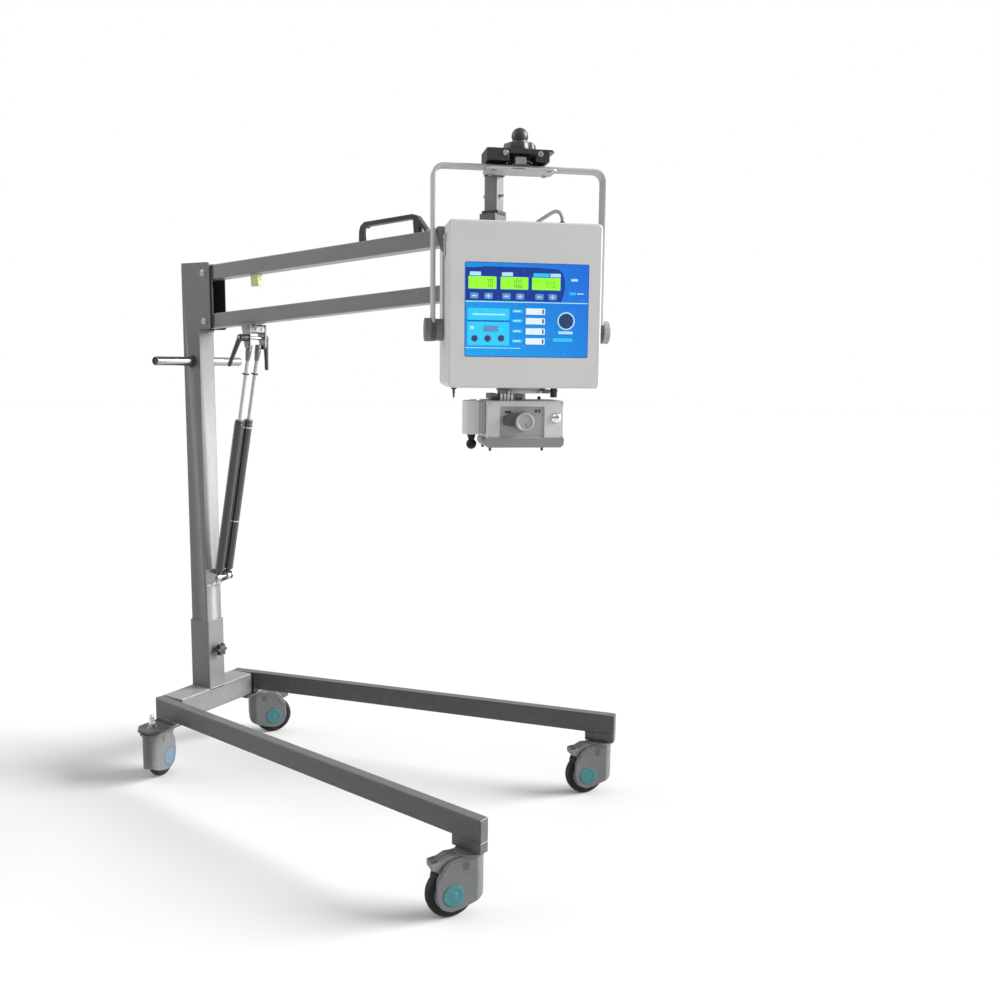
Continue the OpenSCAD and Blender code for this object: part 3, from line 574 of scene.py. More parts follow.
    def cut(s, other):
        """Takes another collection's volume away."""
        objs = []
        for bm in (s.bm, other.bm):
            me = bpy.data.meshes.new("tmp")
            bm.to_mesh(me)
            ob = bpy.data.objects.new("tmp", me)
            SCENE.collection.objects.link(ob)
            objs.append(ob)
        a, b = objs
        mod = a.modifiers.new("cut", "BOOLEAN")
        mod.operation = "DIFFERENCE"
        mod.solver = "EXACT"
        mod.use_self = True
        mod.object = b
        bpy.context.view_layer.update()
        me = bpy.data.meshes.new_from_object(a.evaluated_get(bpy.context.evaluated_depsgraph_get()))
        s.bm.free()
        s.bm = bmesh.new()
        s.bm.from_mesh(me)
        bpy.data.meshes.remove(me)
        for ob in objs:
            old = ob.data
            bpy.data.objects.remove(ob)
            bpy.data.meshes.remove(old)
        bmesh.ops.remove_doubles(s.bm, verts=s.bm.verts, dist=0.002)
        return s

    def edge(s, w, seg=2, deg=40, pick=None):
        bevel(s.bm, sharp(s.bm, deg, pick), w, seg)
        return s

    def cad(s, node, mat=0):
        """The CAD node's own shape, in this frame, as clean flat faces."""
        o = frame["nodes"][node]
        bm = bmesh.new()
        bm.from_mesh(o.data)
        bmesh.ops.transform(bm, matrix=s.M.inverted() @ Matrix.Scale(1000, 4), verts=bm.verts)
        bmesh.ops.remove_doubles(bm, verts=bm.verts, dist=0.01)
        bmesh.ops.dissolve_limit(bm, angle_limit=radians(0.6), verts=bm.verts, edges=bm.edges)
        return s.take(bm, mat)


def wear_and_sheen_of(bm):
    """1 on the vertices along a rounded convex edge, 0 on flats; it places edge wear and the painted edge highlight."""
    out = np.zeros(len(bm.verts), np.float32)
    bm.verts.index_update()
    for e in bm.edges:
        if len(e.link_faces) != 2:
            continue
        a = e.calc_face_angle_signed(0)
        if a > radians(17):
            w = min(1.0, (a - radians(17)) / radians(10))
            for v in e.verts:
                out[v.index] = max(out[v.index], w)
    return out


def piece(name, g, body, mats, repl=(), deg=34):
    bm = g.bm
    bmesh.ops.recalc_face_normals(bm, faces=bm.faces)
    wear_and_sheen = wear_and_sheen_of(bm)
    me = bpy.data.meshes.new(name)
    bm.to_mesh(me)
    bm.free()
    co = np.zeros(len(me.vertices) * 3, np.float32)
    me.vertices.foreach_get("co", co)
    at = me.attributes.new("lp", "FLOAT_VECTOR", "POINT")
    at.data.foreach_set("vector", co * 0.001)
    at = me.attributes.new("wear_and_sheen", "FLOAT", "POINT")
    at.data.foreach_set("value", wear_and_sheen)
    me.transform(MM @ g.M)
    for m in mats if isinstance(mats, (list, tuple)) else [mats]:
        me.materials.append(MAT[m])
    me.shade_smooth()
    me.set_sharp_from_angle(angle=radians(deg))
    ob = bpy.data.objects.new(name, me)
    SCENE.collection.objects.link(ob)
    wn = ob.modifiers.new("normals", "WEIGHTED_NORMAL")
    wn.keep_sharp = True
    wn.weight = 80
    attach(ob, body)
    if repl:
        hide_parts(*([repl] if isinstance(repl, str) else repl))
    return ob


def auto(node, mat, w=0.6, seg=2, deg=40, M=None, pick=None, extra=None, mats=None):
    """The CAD node with its edges rounded."""
    g = G(M).cad(node)
    g.edge(w, seg, deg, pick)
    if extra:
        extra(g)
    return piece(node + "_v", g, BODY[node], mats or mat, node)


def ends_at(p, **kw):
    return all(abs(getattr(p, k) - v) < 0.6 for k, v in kw.items())


def weld_bead(g, path, r=2.4, mat=0, step=2.2):
    """A rippled weld bead along straight stretches."""
    pts, rad = [], []
    P = [Vector(p) for p in path]
    k = 0
    for a, b in zip(P, P[1:]):
        L = (b - a).length
        n = max(2, int(L / step))
        for i in range(n):
            pts.append(a + (b - a) * i / n)
            rad.append(r * (0.86 + 0.14 * (1 if k % 2 else -1) * 0.6 + 0.10 * sin(k * 1.7)))
            k += 1
    pts.append(P[-1])
    rad.append(r * 0.8)
    g.tube(pts, rad, n=8, mat=mat)


def hexagon(r, turn=0.0):
    return circ(r, 6, a0=turn, a1=turn + 360)


def bolt(g, X, r=7.0, h=5.0, mat=0, kind="hex", washer=True):
    """A bolt head on local z = 0, pointing to +z."""
    z = 0.0
    if washer:
        g.lathe([(0, z), (r * 1.45, z), (r * 1.5, z + 0.3), (r * 1.5, z + 1.1), (r * 1.42, z + 1.5), (0, z + 1.5)], X, 40, mat)
        z += 1.5
    if kind == "hex":
        g.prism(hexagon(r * 1.08, 12), z, z + h, "xy", 0.0, 1, mat, X)
        g.lathe([(0, z + h - 0.6), (r * 0.86, z + h - 0.6), (r * 0.86, z + h), (r * 0.78, z + h + 0.5), (0, z + h + 0.5)], X, 36, mat)
    elif kind == "dome":
        g.lathe([(0, z), (r, z), (r, z + h * 0.35), (r * 0.9, z + h * 0.68), (r * 0.66, z + h * 0.92), (r * 0.42, z + h), (r * 0.42, z + h * 0.4), (0, z + h * 0.4)], X, 36, mat)
    elif kind == "cap":
        g.lathe([(0, z), (r, z), (r, z + h * 0.8), (r * 0.9, z + h), (r * 0.55, z + h), (r * 0.5, z + h * 0.45), (0, z + h * 0.45)], X, 36, mat)
    elif kind == "pan":
        g.lathe([(0, z), (r, z), (r * 0.98, z + h * 0.4), (r * 0.8, z + h * 0.8), (r * 0.45, z + h), (0, z + h)], X, 32, mat)
    return g


def face(x, y, z, to):
    """A frame at a point whose local +z looks along `to`."""
    return T((x, y, z)) @ Vector(to).to_track_quat("Z", "Y").to_matrix().to_4x4()


# ------------------------------------------------------------------ base
def long_edges(axis, tol=0.02):
    def f(e):
        dv = (e.verts[0].co - e.verts[1].co).normalized()
        return abs(dv[axis]) > 1 - tol
    return f


for s, nm in ((1, "left"), (-1, "right")):
    g = G(LEG(s))
    # tube, with a cap set in its open end
    g.box((0, -15, 187), (1353.2, 15, 247), 3.2, 4)
    g.prism(rrect(26.4, 56.4, 3.2, 4, 0, 217), 1350, 1354, "yz", 0.8, 2)
    g.box((1352.9, -0.35, 190), (1353.9, 0.35, 244), 0.2, 1, mat=2)
    # block under the front end
    g.box((1263, -15, 160), (1353.6, 15, 188.5), 2.6, 3)
    weld_bead(g, [(1263.5, -13, 187), (1263.5, 13, 187)], 2.0)
    weld_bead(g, [(1266, -14.6, 187.2), (1351, -14.6, 187.2)], 1.3)
    weld_bead(g, [(1266, 14.6, 187.2), (1351, 14.6, 187.2)], 1.3)
    g.box((0, -15, 174), (84, 15, 188.5), 2.2, 3)
    weld_bead(g, [(84, -13, 187), (84, 13, 187)], 1.8)
    # front swivel stem
    g.lathe([(0, 131), (6.8, 131), (8, 132.5), (8, 158), (13, 158), (13, 160.5), (0, 160.5)], T((STEM_T, 0, 0)), 36, 1)
    # weld to the cross beam, on the inner side and over the top
    ix = 88.0
    weld_bead(g, [(ix, -s * 15.2, 188), (ix, -s * 15.2, 245)], 2.2)
    piece("leg_%s_v" % nm, g, "base", ["base_paint_shaded", "zinc", "gasket"], "leg_" + nm)

g = G()
g.box((-45.7, -158, 174), (40, 158, 247), 4.0, 4)
# well of the socket, which the column slides down into
c = G()
c.prism(rrect(72.2, 64.2, 1, 4), 177.5, 262, "xy", 0)
g.cut(c)
for s in (-1, 1):
    weld_bead(g, [(-36, s * 155, 246.6), (38, s * 163, 246.6)], 2.2)
    weld_bead(g, [(39.8, s * 156, 178), (39.8, s * 156, 244)], 2.0)
piece("cross_beam_v", g, "base", ["beam_paint"], "cross_beam")

for s, nm in ((1, "left"), (-1, "right")):
    g = G()
    g.plate(rpoly([(-50, s * 132), (44, s * 132), (44, s * 254), (22, s * 278), (-26, s * 278), (-50, s * 254)], 3, 3), [], 164, 174, "xy", 2.2, 3)
    g.lathe([(0, 160), (23.5, 160), (25, 161.4), (25, 164.5), (0, 164.5)], T((-5, s * 240, 0)), 48)
    weld_bead(g, [(-44, s * 185, 174.2), (-44, s * 196, 174.2)], 1.6)
    piece("rear_plate_%s_v" % nm, g, "base", ["base_paint_shaded"], "rear_plate_" + nm)
    # threaded stem with its knurled nut
    g = G(T((-5, s * 240, 0)))
    prof = [(0, 131), (7, 131), (8, 132.4), (8, 186)]
    z = 186.0
    while z < 203:
        prof += [(7.4, z + 0.1), (7.4, z + 0.5), (6.5, z + 1.0), (7.4, z + 1.5)]
        z += 1.6
    prof += [(5.6, 204.6), (5.4, 205.4), (7.2, 206.4), (8, 208.4), (8, 210.2), (6.8, 212.2), (4.6, 213), (0, 213)]
    g.lathe(prof, None, 36, 0)
    g.lathe([(0, 174), (13.5, 174), (13.5, 175.4), (0, 175.4)], None, 40, 0)
    g.prism(hexagon(11, 20), 175.4, 183, "xy", 0.7, 2)
    kn = []
    for k in range(72):
        rr = 8.9 if k % 2 else 9.6
        kn.append((rr * cos(2 * pi * k / 72), rr * sin(2 * pi * k / 72)))
    g.prism(kn, 184, 194, "xy", 0, 1)
    g.lathe([(0, 183), (8.7, 183), (8.7, 184), (8.7, 194), (8, 195.2), (0, 195.2)], None, 40, 0)
    piece("stem_%s_v" % nm, g, "base", ["bright"], "stem_" + nm)

# socket that holds the column
g = G()
g.plate(rrect(80, 72, 6, 5), [rrect(72, 64, 3, 4)], 240, 472, "xy", 1.0, 2)
weld_bead(g, [(-34, -37.2, 247), (34, -37.2, 247)], 2.4)
weld_bead(g, [(-34, 37.2, 247), (34, 37.2, 247)], 2.4)
weld_bead(g, [(-41, -32, 247), (-41, 32, 247)], 2.2)
weld_bead(g, [(41, -32, 246.4), (41, 32, 246.4)], 2.2)
g.lathe([(0, 0), (9.5, 0), (9.5, 3), (8.5, 4), (0, 4)], face(39.5, 0, 375, (1, 0, 0)), 36)
piece("column_socket_v", g, "base", ["paint"], "column_socket")

# star knob
K = face(36, 0, 375, (1, 0, 0))
g = G(K)
g.lathe([(0, -0.2), (5, -0.2), (5, 9), (0, 9)], None, 24, 1)
g.lathe([(0, 7.6), (9.2, 7.6), (9.6, 8.2), (9.0, 17), (0, 17)], None, 40)
lobes = []
for k in range(120):
    a = 2 * pi * k / 120
    lobes.append(((17.2 + 3.6 * cos(6 * a)) * cos(a), (17.2 + 3.6 * cos(6 * a)) * sin(a)))
g.prism(lobes, 16, 32, "xy", 2.4, 4)
g.lathe([(0, 31.5), (8, 31.5), (8.2, 32.2), (7, 33), (0, 33)], None, 32)
piece("socket_knob_v", g, "base", ["dark", "zinc"], "socket_knob")


# ------------------------------------------------------------------ casters
def fork_shape(disc):
    g = G()
    out = rpoly([(-24, 156, 3), (-60, 149, 8), (-76, 138, 12), (-92, 104, 26), (-94, 62, 30), (-84, 34, 24), (-58, 20, 24), (-30, 24, 20), (8, 36, 24), (30, 48, 16), (34, 84, 20), (34, 156, 3)], 10, 6)
    g.prism(out, -27.5, 27.5, "xz", 7.5, 5)
    # wheel room
    c = G()
    c.lathe([(0, -20), (67, -20), (67, 20), (0, 20)], T((-50, 0, 62.5)) @ R("X", 90), 72)
    g.cut(c)
    # rounded nose
    c = G()
    arc = [(34.4 * cos(radians(a)), 28.5 * sin(radians(a))) for a in range(90, -91, -7)]
    c.prism([(-1, 60), (70, 60), (70, -60), (-1, -60), (-1, -28.5)] + arc[::-1] + [(-1, 28.5)], 0, 170, "xy", 0)
    g.cut(c)
    # swivel flange: a dish with a lip
    g.lathe([(0, 146), (25, 146), (26.6, 147.4), (27.4, 150), (30, 151.6), (35.6, 152.4), (37, 153.6), (37, 158), (36, 159.5), (0, 159.5)], None, 72)
    g.lathe([(0, 130), (11, 130), (12, 131), (12, 148), (0, 148)], None, 36, 1)
    for y in (-1, 1):
        # a dark slot under the flange, and a moulded rib behind it
        g.box((-27, y * 27 - 1.0, 122), (-11, y * 27 + 1.0, 140), 0.9, 2, mat=4)
        g.prism(rpoly([(-30, 147), (-60, 143), (-72, 132), (-84, 108), (-76, 106), (-64, 128), (-52, 136), (-28, 139)], 4, 3), y * 26.4 - 2.0, y * 26.4 + 2.0, "xz", 1.2, 2)
        X = T((-50, 0, 62.5)) @ R("X", -90 * y)
        # hub cover
        g.lathe([(0, 26), (29, 26), (29, 27.6), (28, 28), (0, 28)], X, 64)
        g.lathe([(0, 27), (26.8, 27), (26.8, 28.3), (25.6, 28.9), (20, 29.1), (12, 28.7), (9.6, 28.6), (8.8, 29.2), (0, 29.2)], X, 64, disc)
        g.lathe([(26.9, 27.4), (27.9, 27.4), (27.9, 28.2), (26.9, 28.2)], X, 64, 1, closed=True)
    # brake pedal in two lobes, with grip ribs
    ped = rpoly([(-22, 157.5, 2), (-62, 157.5, 5), (-80, 149, 8), (-103.5, 146, 3), (-103.5, 130, 3), (-96, 127, 4), (-84, 120, 8), (-58, 134, 6), (-22, 134, 2)], 3, 4)
    for y in (-1, 1):
        g.prism(ped, *((0.8, 19) if y > 0 else (-19, -0.8)), "xz", 2.6, 3, mat=3)
        for k in range(4):
            x = -88 - k * 3.6
            zt = 146 + (x + 103.5) * 0.13
            g.box((x - 0.9, y * 9.9 - 6.4, zt - 3), (x + 0.9, y * 9.9 + 6.4, zt + 1.0), 0.5, 1, mat=1)
    return g


def wheel_shape():
    """About local Z; the axle is at the origin."""
    g = G()
    g.lathe([(44, -13), (45.5, -14.8), (51, -15), (57.5, -14), (60.6, -11.4), (62.1, -7.5), (62.5, -3), (62.5, 3), (62.1, 7.5), (60.6, 11.4), (57.5, 14), (51, 15), (45.5, 14.8), (44, 13)], None, 96, 0, closed=True)
    g.lathe([(12, -9), (38.5, -7), (41, -12.6), (44.2, -12.9), (44.2, 12.9), (41, 12.6), (38.5, 7), (12, 9)], None, 72, 1, closed=True)
    for k in range(8):
        for s in (-1, 1):
            g.box((14, -1.8, s * 9 - 3.2), (40.5, 1.8, s * 9 + 3.2), 0.7, 1, mat=1, X=R("Z", k * 45))
    g.lathe([(6.2, -18), (11.8, -18), (13, -17), (13, 17), (11.8, 18), (6.2, 18)], None, 48, 2, closed=True)
    return g


for k, M in CAST.items():
    g = fork_shape(2)
    g.M = M
    piece("fork_%s_v" % k, g, "caster_" + k, ["fork", "dark", "teal" if k != "rr" else "blue", "grey", "slate"], "fork_" + k)
    g = wheel_shape()
    g.M = M @ T((-50, 0, 62.5)) @ R("X", 90)
    w = piece("wheel_%s_v" % k, g, "roller_" + k, ["tyre", "hub", "zinc"], "wheel_" + k)
    co = np.zeros(len(w.data.vertices) * 3, np.float32)
    w.data.attributes["lp"].data.foreach_get("vector", co)
    co = co.reshape(-1, 3)
    at = w.data.attributes.new("tread", "FLOAT", "POINT")
    at.data.foreach_set("value", (np.hypot(co[:, 0], co[:, 1]) > 0.0605).astype(np.float32))


# ------------------------------------------------------------------ column
g = G().cad("column")


def col_corner(e):
    a, b = e.verts[0].co, e.verts[1].co
    return abs((a - b).normalized().z) > 0.98 and abs(abs(a.y) - 31.5) < 0.1 and (abs(a.x + 35.5) < 0.1 or (abs(a.x - 35.5) < 0.1 and max(a.z, b.z) < 1412)) and abs(a.z - b.z) > 200


bevel(g.bm, sharp(g.bm, 50, col_corner), 4.2, 4)
g.edge(0.7, 2, 50, lambda e: (e.verts[0].co - e.verts[1].co).length > 1.0)
piece("column_v", g, "column", ["col_paint_shaded"], "column")

auto("arm_liner", "black", 0.5, 2)

g = G()
X = T((0, 0, 1312)) @ R("X", 90)
g.lathe([(0, -176.5), (8.4, -176.5), (9, -177.6), (11.5, -178.2), (12.2, -180), (13.2, -179.6), (14, -178.4), (14, 178.4), (13.2, 179.6), (12.2, 180), (11.5, 178.2), (9, 177.6), (8.4, 176.5), (0, 176.5)], X, 64, 0, mats=[1, 1, 1, 1, 0, 0, 0, 0, 0, 1, 1, 1, 1])
piece("push_handle_v", g, "column", ["chrome", "dark"], "push_handle")

g = G()
for s in (-1, 1):
    X = T((0, 0, 1312)) @ R("X", -90 * s)
    g.lathe([(14.1, 31.6), (20, 31.6), (20, 33), (17.2, 34), (17, 38), (16.2, 39.4), (14.1, 39.4)], X, 56, 0, closed=True)
piece("handle_collars_v", g, "column", ["dark"], "handle_collars")


def pivot_bolts(name, x, zs, hy, body, node, more=None):
    g = G()
    for z in zs:
        g.lathe([(0, -hy - 2), (6, -hy - 2), (6, hy + 2), (0, hy + 2)], T((x, 0, z)) @ R("X", 90), 32)
        for s in (-1, 1):
            X = face(x, s * hy, z, (0, s, 0))
            if s < 0:
                bolt(g, X, 6.6, 4.2, 0, "cap")
            else:
                bolt(g, X, 6.6, 5.2, 0, "hex")
                g.lathe([(0, 6), (4.6, 6), (4.6, 8.4), (3.8, 9), (0, 9)], X, 24)
    if more:
        more(g)
    return piece(name, g, body, ["zinc"], node)


pivot_bolts("column_bolts_v", 57, (LOW_Z, UP_Z), 31.5, "column", "column_bolts")

g = G().cad("spring_bracket")
g.edge(1.0, 2, 40)
for y in (-20, 20):
    for z in (598, 636):
        bolt(g, face(39.5, y * 0.0 + (0 if z == 598 else 0) + y * 0.55, z - 4, (1, 0, 0)), 4.0, 2.6, 0, "cap", washer=False)
for s in (-1, 1):
    bolt(g, face(77, s * 34, 622, (0, s, 0)), 5.4, 3.4, 0, "hex")
piece("spring_bracket_v", g, "column", ["steel"], "spring_bracket")


# ------------------------------------------------------------------ arms
def long_tube_edges(e):
    a, b = e.verts[0].co, e.verts[1].co
    return abs((a - b).normalized().x) > 0.99 and abs(abs(a.y) - 25) < 0.1 and abs(abs(a.z) - 22) < 0.1


for nm, z in (("upper_arm", UP_Z), ("lower_arm", LOW_Z)):
    g = G(ARM(z)).cad(nm)
    bevel(g.bm, sharp(g.bm, 50, long_tube_edges), 3.4, 4)
    g.edge(0.5, 2, 55, lambda e: (e.verts[0].co - e.verts[1].co).length > 1.0 and abs(e.verts[0].co.x) < 2000)
    piece(nm + "_v", g, nm, ["arm_paint_lit"], nm)

# carry handle: a moulded bow on two feet, with screws and a bright insert
g = G(ARM(UP_Z) @ T((586, 0, 22)))
outer = rpoly([(0, 0.3, 1), (3, 30, 8), (8, 44, 10), (22, 54, 10), (186, 54, 10), (200, 48, 10), (228, 8, 6), (230, 0.3, 1)], 5, 5)
inner = rpoly([(22, -4, 1), (22, 36, 5), (30, 42, 6), (178, 42, 6), (186, 38, 4), (186, -4, 1)], 5, 5)
small = rpoly([(205, -4, 1), (205, 26, 4), (219, 8, 3), (220, -4, 1)], 3, 3)
bow = [(0, 0.3)] + outer[:]
poly = rpoly([(0, 0.3, 1), (3, 30, 8), (8, 44, 10), (22, 54, 10), (186, 54, 10), (200, 48, 10), (228, 8, 6), (230, 0.3, 1), (220, 0.3, 1), (219, 8, 3), (205, 26, 4), (205, 0.3, 1), (186, 0.3, 1), (186, 38, 4), (178, 42, 6), (30, 42, 6), (22, 36, 5), (22, 0.3, 1)], 4, 4)
g.prism(poly, -11, 11, "xz", 2.6, 3)
g.box((-2, -11, 0), (26, 11, 2.4), 0.8, 2)
g.box((182, -11, 0), (231, 11, 2.4), 0.8, 2)
g.box((23, -7, 2), (25.4, 7, 38), 0.5, 2, mat=1)
bolt(g, T((12, 0, 52.4)), 0.1, 0.1, 0, "pan", washer=False)
for x in (4, 226):
    for y in (-6,):
        bolt(g, T((x, y, 2.2)), 2.6, 1.2, 1, "pan", washer=False)
piece("carry_handle_v", g, "upper_arm", ["dark", "pale"], "carry_handle")

# spirit level under the arm
g = G(ARM(UP_Z) @ T((189, 0, -59)))
c = G(ARM(UP_Z))
g.box((-15, -11, 0), (15, 11, 37), 1.6, 3)
c.lathe([(0, -30), (4.6, -30), (4.6, 30), (0, 30)], T((0, 0, 20)) @ R("Y", 90), 32)
g.cut(c)
g.lathe([(0, -13), (4.3, -13), (4.5, -12), (4.5, 12), (4.3, 13), (0, 13)], T((0, 0, 20)) @ R("Y", 90), 32, 1)
for x in (-3.6, 3.6):
    g.lathe([(4.55, x - 0.35), (4.75, x - 0.35), (4.75, x + 0.35), (4.55, x + 0.35)], T((0, 0, 20)) @ R("Y", 90), 32, 2, closed=True)
g.box((-15, -11, 34.5), (15, 11, 37), 0.5, 1, mat=3)
piece("level_vial_v", g, "upper_arm", ["vial", "spirit", "dark", "pale"], "level_vial")

# spring clevis on the lower arm
tc, ts = cos(radians(TILT)), sin(radians(TILT))
EX = (236 - 57) * tc + (1384 - 1436) * ts
EZ = -(236 - 57) * ts + (1384 - 1436) * tc
g = G(ARM(LOW_Z)).cad("spring_clevis")
g.edge(1.1, 2, 40)
g.box((EX - 15, -31.4, EZ + 15), (EX + 15, 31.4, -26.5), 3.0, 3, 2)
for y in (-13, 13):
    g.lathe([(0, -0.2), (4.6, -0.2), (4.6, 0.3), (3.8, 0.5), (0, 0.5)], face(EX + 15, y, EZ + 26, (1, 0, 0)), 28, 1)
for x in (-20, 20):
    for y in (-14, 14):
        bolt(g, T((EX + x, y, -27)) @ R("X", 180), 3.8, 2.4, 0, "cap", washer=False)
for s in (-1, 1):
    bolt(g, T((EX, s * 36, EZ - 22)) @ R("X", -90 * s), 4.4, 2.4, 0, "cap", washer=False)
    g.lathe([(0, 0), (9.5, 0), (9.5, 1.6), (8.4, 2.2), (0, 2.2)], T((EX, s * 36, EZ)) @ R("X", -90 * s), 36)
piece("spring_clevis_v", g, "lower_arm", ["steel", "dark", "cast"], "spring_clevis")

for s, nm in ((1, "left"), (-1, "right")):
    g = G(ARM(LOW_Z) @ T((EX, s * 36.3, EZ)) @ R("Y", 4 if s > 0 else 32))
    X = R("X", -90 * s)
    e = 0 if s > 0 else 18
    g.lathe([(5.1, 0.4), (10.2, 0.4), (11, 1.4), (11, 2 + e * 0.6), (10.2, 3 + e * 0.8), (10.4, 4 + e), (11, 5 + e), (11, 11.5 + e), (9.8, 14 + e), (7, 15.4 + e), (5.2, 15.8 + e), (5.1, 15.8 + e)], X, 40, 0, closed=True)
    g.lathe([(0, 9 + e), (4.9, 9 + e), (4.9, 16.6 + e), (4.2, 17.2 + e), (2.4, 17.2 + e), (2.2, 15.4 + e), (0, 15.4 + e)], X, 24, 1)
    path, rad = [], []
    for i in range(15):
        t = i / 14
        path.append((0, s * (11.5 + e + 1.4 * sin(t * pi * 0.5)), -3 - 89 * t))
        rad.append(7.8 - 2.5 * t + (1.0 * (t - 0.82) * 5 if t > 0.82 else 0) * 0.9)
    g.tube(path, rad, 20)
    g.ball(path[-1], rad[-1] * 0.985, 0, 20, 14)
    piece("clamp_lever_%s_v" % nm, g, "lower_arm", ["dark", "zinc"], "clamp_lever_" + nm)

# ------------------------------------------------------------------ front end of the arms
g = G().cad("end_bracket")
bevel(g.bm, sharp(g.bm, 50, lambda e: abs((e.verts[0].co - e.verts[1].co).normalized().z) > 0.98 and abs(e.verts[0].co.x - 1092) < 0.2), 4.0, 4)
g.edge(0.8, 2, 50, lambda e: (e.verts[0].co - e.verts[1].co).length > 1.0)
piece("end_bracket_v", g, "end_frame", ["paint"], "end_bracket")
g = G().cad("end_post")
bevel(g.bm, sharp(g.bm, 50, lambda e: abs((e.verts[0].co - e.verts[1].co).normalized().z) > 0.98 and abs(abs(e.verts[0].co.y) - 19) < 0.1 and abs(abs(e.verts[0].co.x - 1070) - 19) < 0.1), 3.0, 4)
g.edge(0.6, 2, 50, lambda e: (e.verts[0].co - e.verts[1].co).length > 1.0)
piece("end_post_v", g, "end_frame", ["post_paint_lit"], "end_post")
auto("post_collar", "dark", 1.2, 3)


def cross_pin(g):
    g.lathe([(0, -31), (3.2, -31), (4, -30), (4, 30), (3.2, 31), (0, 31)], T((1070, 0, 1748)) @ R("Y", 90), 24)
    for s in (-1, 1):
        bolt(g, face(1070 + s * 19, 0, 1748, (s, 0, 0)), 5.0, 6.0, 0, "hex")


pivot_bolts("front_bolts_v", END_X, (END_Z, END_Z + 148), 31.5, "end_frame", "front_bolts", cross_pin)
g = G(T((1070, 0, 0)))
g.lathe([(10.1, 1826.6), (16, 1826.6), (16, 1833.4), (14.4, 1835.4), (10.1, 1835.4)], None, 48, 0, closed=True)
g.lathe([(0, 1830), (10, 1830), (10, 1834.6), (9, 1835.2), (0, 1835.2)], None, 40, 1)
piece("swivel_cap_v", g, "end_frame", ["dark", "zinc"], "swivel_cap")

# ------------------------------------------------------------------ gas springs
for s, nm in ((1, "left"), (-1, "right")):
    g = G(SPRING @ T((0, s * 20, 0)))
    g.lathe([(0, 9), (7.6, 9), (8, 10), (8, 22), (10, 23), (12.6, 24), (14, 26.5), (14, 40), (14, 500), (14, 508), (13.2, 509), (13.2, 511), (14, 512), (14, 517), (12.4, 520.6), (9, 521), (6.4, 521), (6.2, 518), (0, 518)], None, 56)
    c = R("X", 90)
    g.lathe([(5.05, -7), (10, -7), (11, -6), (11, 6), (10, 7), (5.05, 7)], c, 40, 1, closed=True)
    if s > 0:
        for t, L in ((486, 22), (168, 40)):
            g.box((-3.2, 13.2, t), (3.2, 14.6, t + L), 0.6, 2, mat=1, X=R("Z", -64))
            g.lathe([(13.9, t + L * 0.5 - 2), (14.5, t + L * 0.5 - 2), (14.5, t + L * 0.5 + 2), (13.9, t + L * 0.5 + 2)], None, 48, 1, closed=True)
    piece("cylinder_%s_v" % nm, g, "gas_springs", ["gloss", "zinc"], "cylinder_" + nm)
    g = G(SPRING @ T((0, s * 20, 0)))
    SL = sqrt((236 - 77) ** 2 + (1384 - 622) ** 2)
    g.lathe([(0, 400), (4.6, 400), (5, 401), (5, SL - 70), (6.2, SL - 69), (7.4, SL - 60), (9.6, SL - 40), (9.6, SL - 36), (8.6, SL - 34.6), (9.8, SL - 33), (9.8, SL - 23), (8.6, SL - 21), (0, SL - 21)], None, 40, mats=[0] * 3 + [3] * 9)
    g.lathe([(5.05, 665), (10.2, 665), (11, 665.8), (11, 667.7), (10.2, 668.5), (5.05, 668.5)], None, 40, 2, closed=True)
    piece("rod_%s_v" % nm, g, "spring_rods", ["rod", "zinc", "dark", "cast"], "rod_" + nm)

# ------------------------------------------------------------------ turning bracket and bail
g = G(HEAD).cad("top_bracket")
g.edge(0.9, 2, 45, lambda e: (e.verts[0].co - e.verts[1].co).length > 1.2)
for b in (-44, 44):
    bolt(g, T((44, b * 0.98, 1815)) @ R("Y", 90), 4.2, 3.4, 1, "cap", washer=True)
for a, b in ((-30, -70), (30, -70), (-30, 56), (30, 56)):
    bolt(g, T((a, b, 1826)), 3.6, 2.6, 1, "cap", washer=False)
piece("top_bracket_v", g, "top_arm", ["black", "zinc"], "top_bracket")

W, TOPB = 217.5, 1791.5
g = G(HEAD)
shape = rrect(44, 9, 3.6, 5)


def bail_path():
    r = 30 - 4.5
    y, z = W - 4.5, TOPB - 4.5
    pts = [(0, -y, 1440), (0, -y, 1600), (0, -y, z - r)]
    pts += [(0, -y + r - r * cos(radians(a)), z - r + r * sin(radians(a))) for a in range(6, 91, 6)]
    pts += [(0, 0, z)]
    pts += [(0, y - r + r * sin(radians(a)), z - r + r * cos(radians(a))) for a in range(0, 85, 6)]
    return pts + [(0, y, z - r), (0, y, 1600), (0, y, 1440)]


g.tube(bail_path(), 1, shape=shape, up=(1, 0, 0))
for s in (-1, 1):
    out = [(-22, 1441)] + circ(22, 28, 0, 1394, 180, 360) + [(22, 1441)]
    y0, y1 = (W - 9, W) if s > 0 else (-W, -W + 9)
    g.plate(out, [circ(6.1, 24, 0, 1394)], y0, y1, "xz", 3.4, 4)
for s in (-1, 1):
    cup = circ(28, 40, 0, 1394, 142, 398) + circ(22.3, 36, 0, 1394, 142, 398)[::-1]
    y0, y1 = (207.9, 218.1) if s > 0 else (-218.1, -207.9)
    g.prism(cup, y0, y1, "xz", 0.9, 2, 1)
piece("bail_v", g, "bail", ["bail", "slate"], "bail")

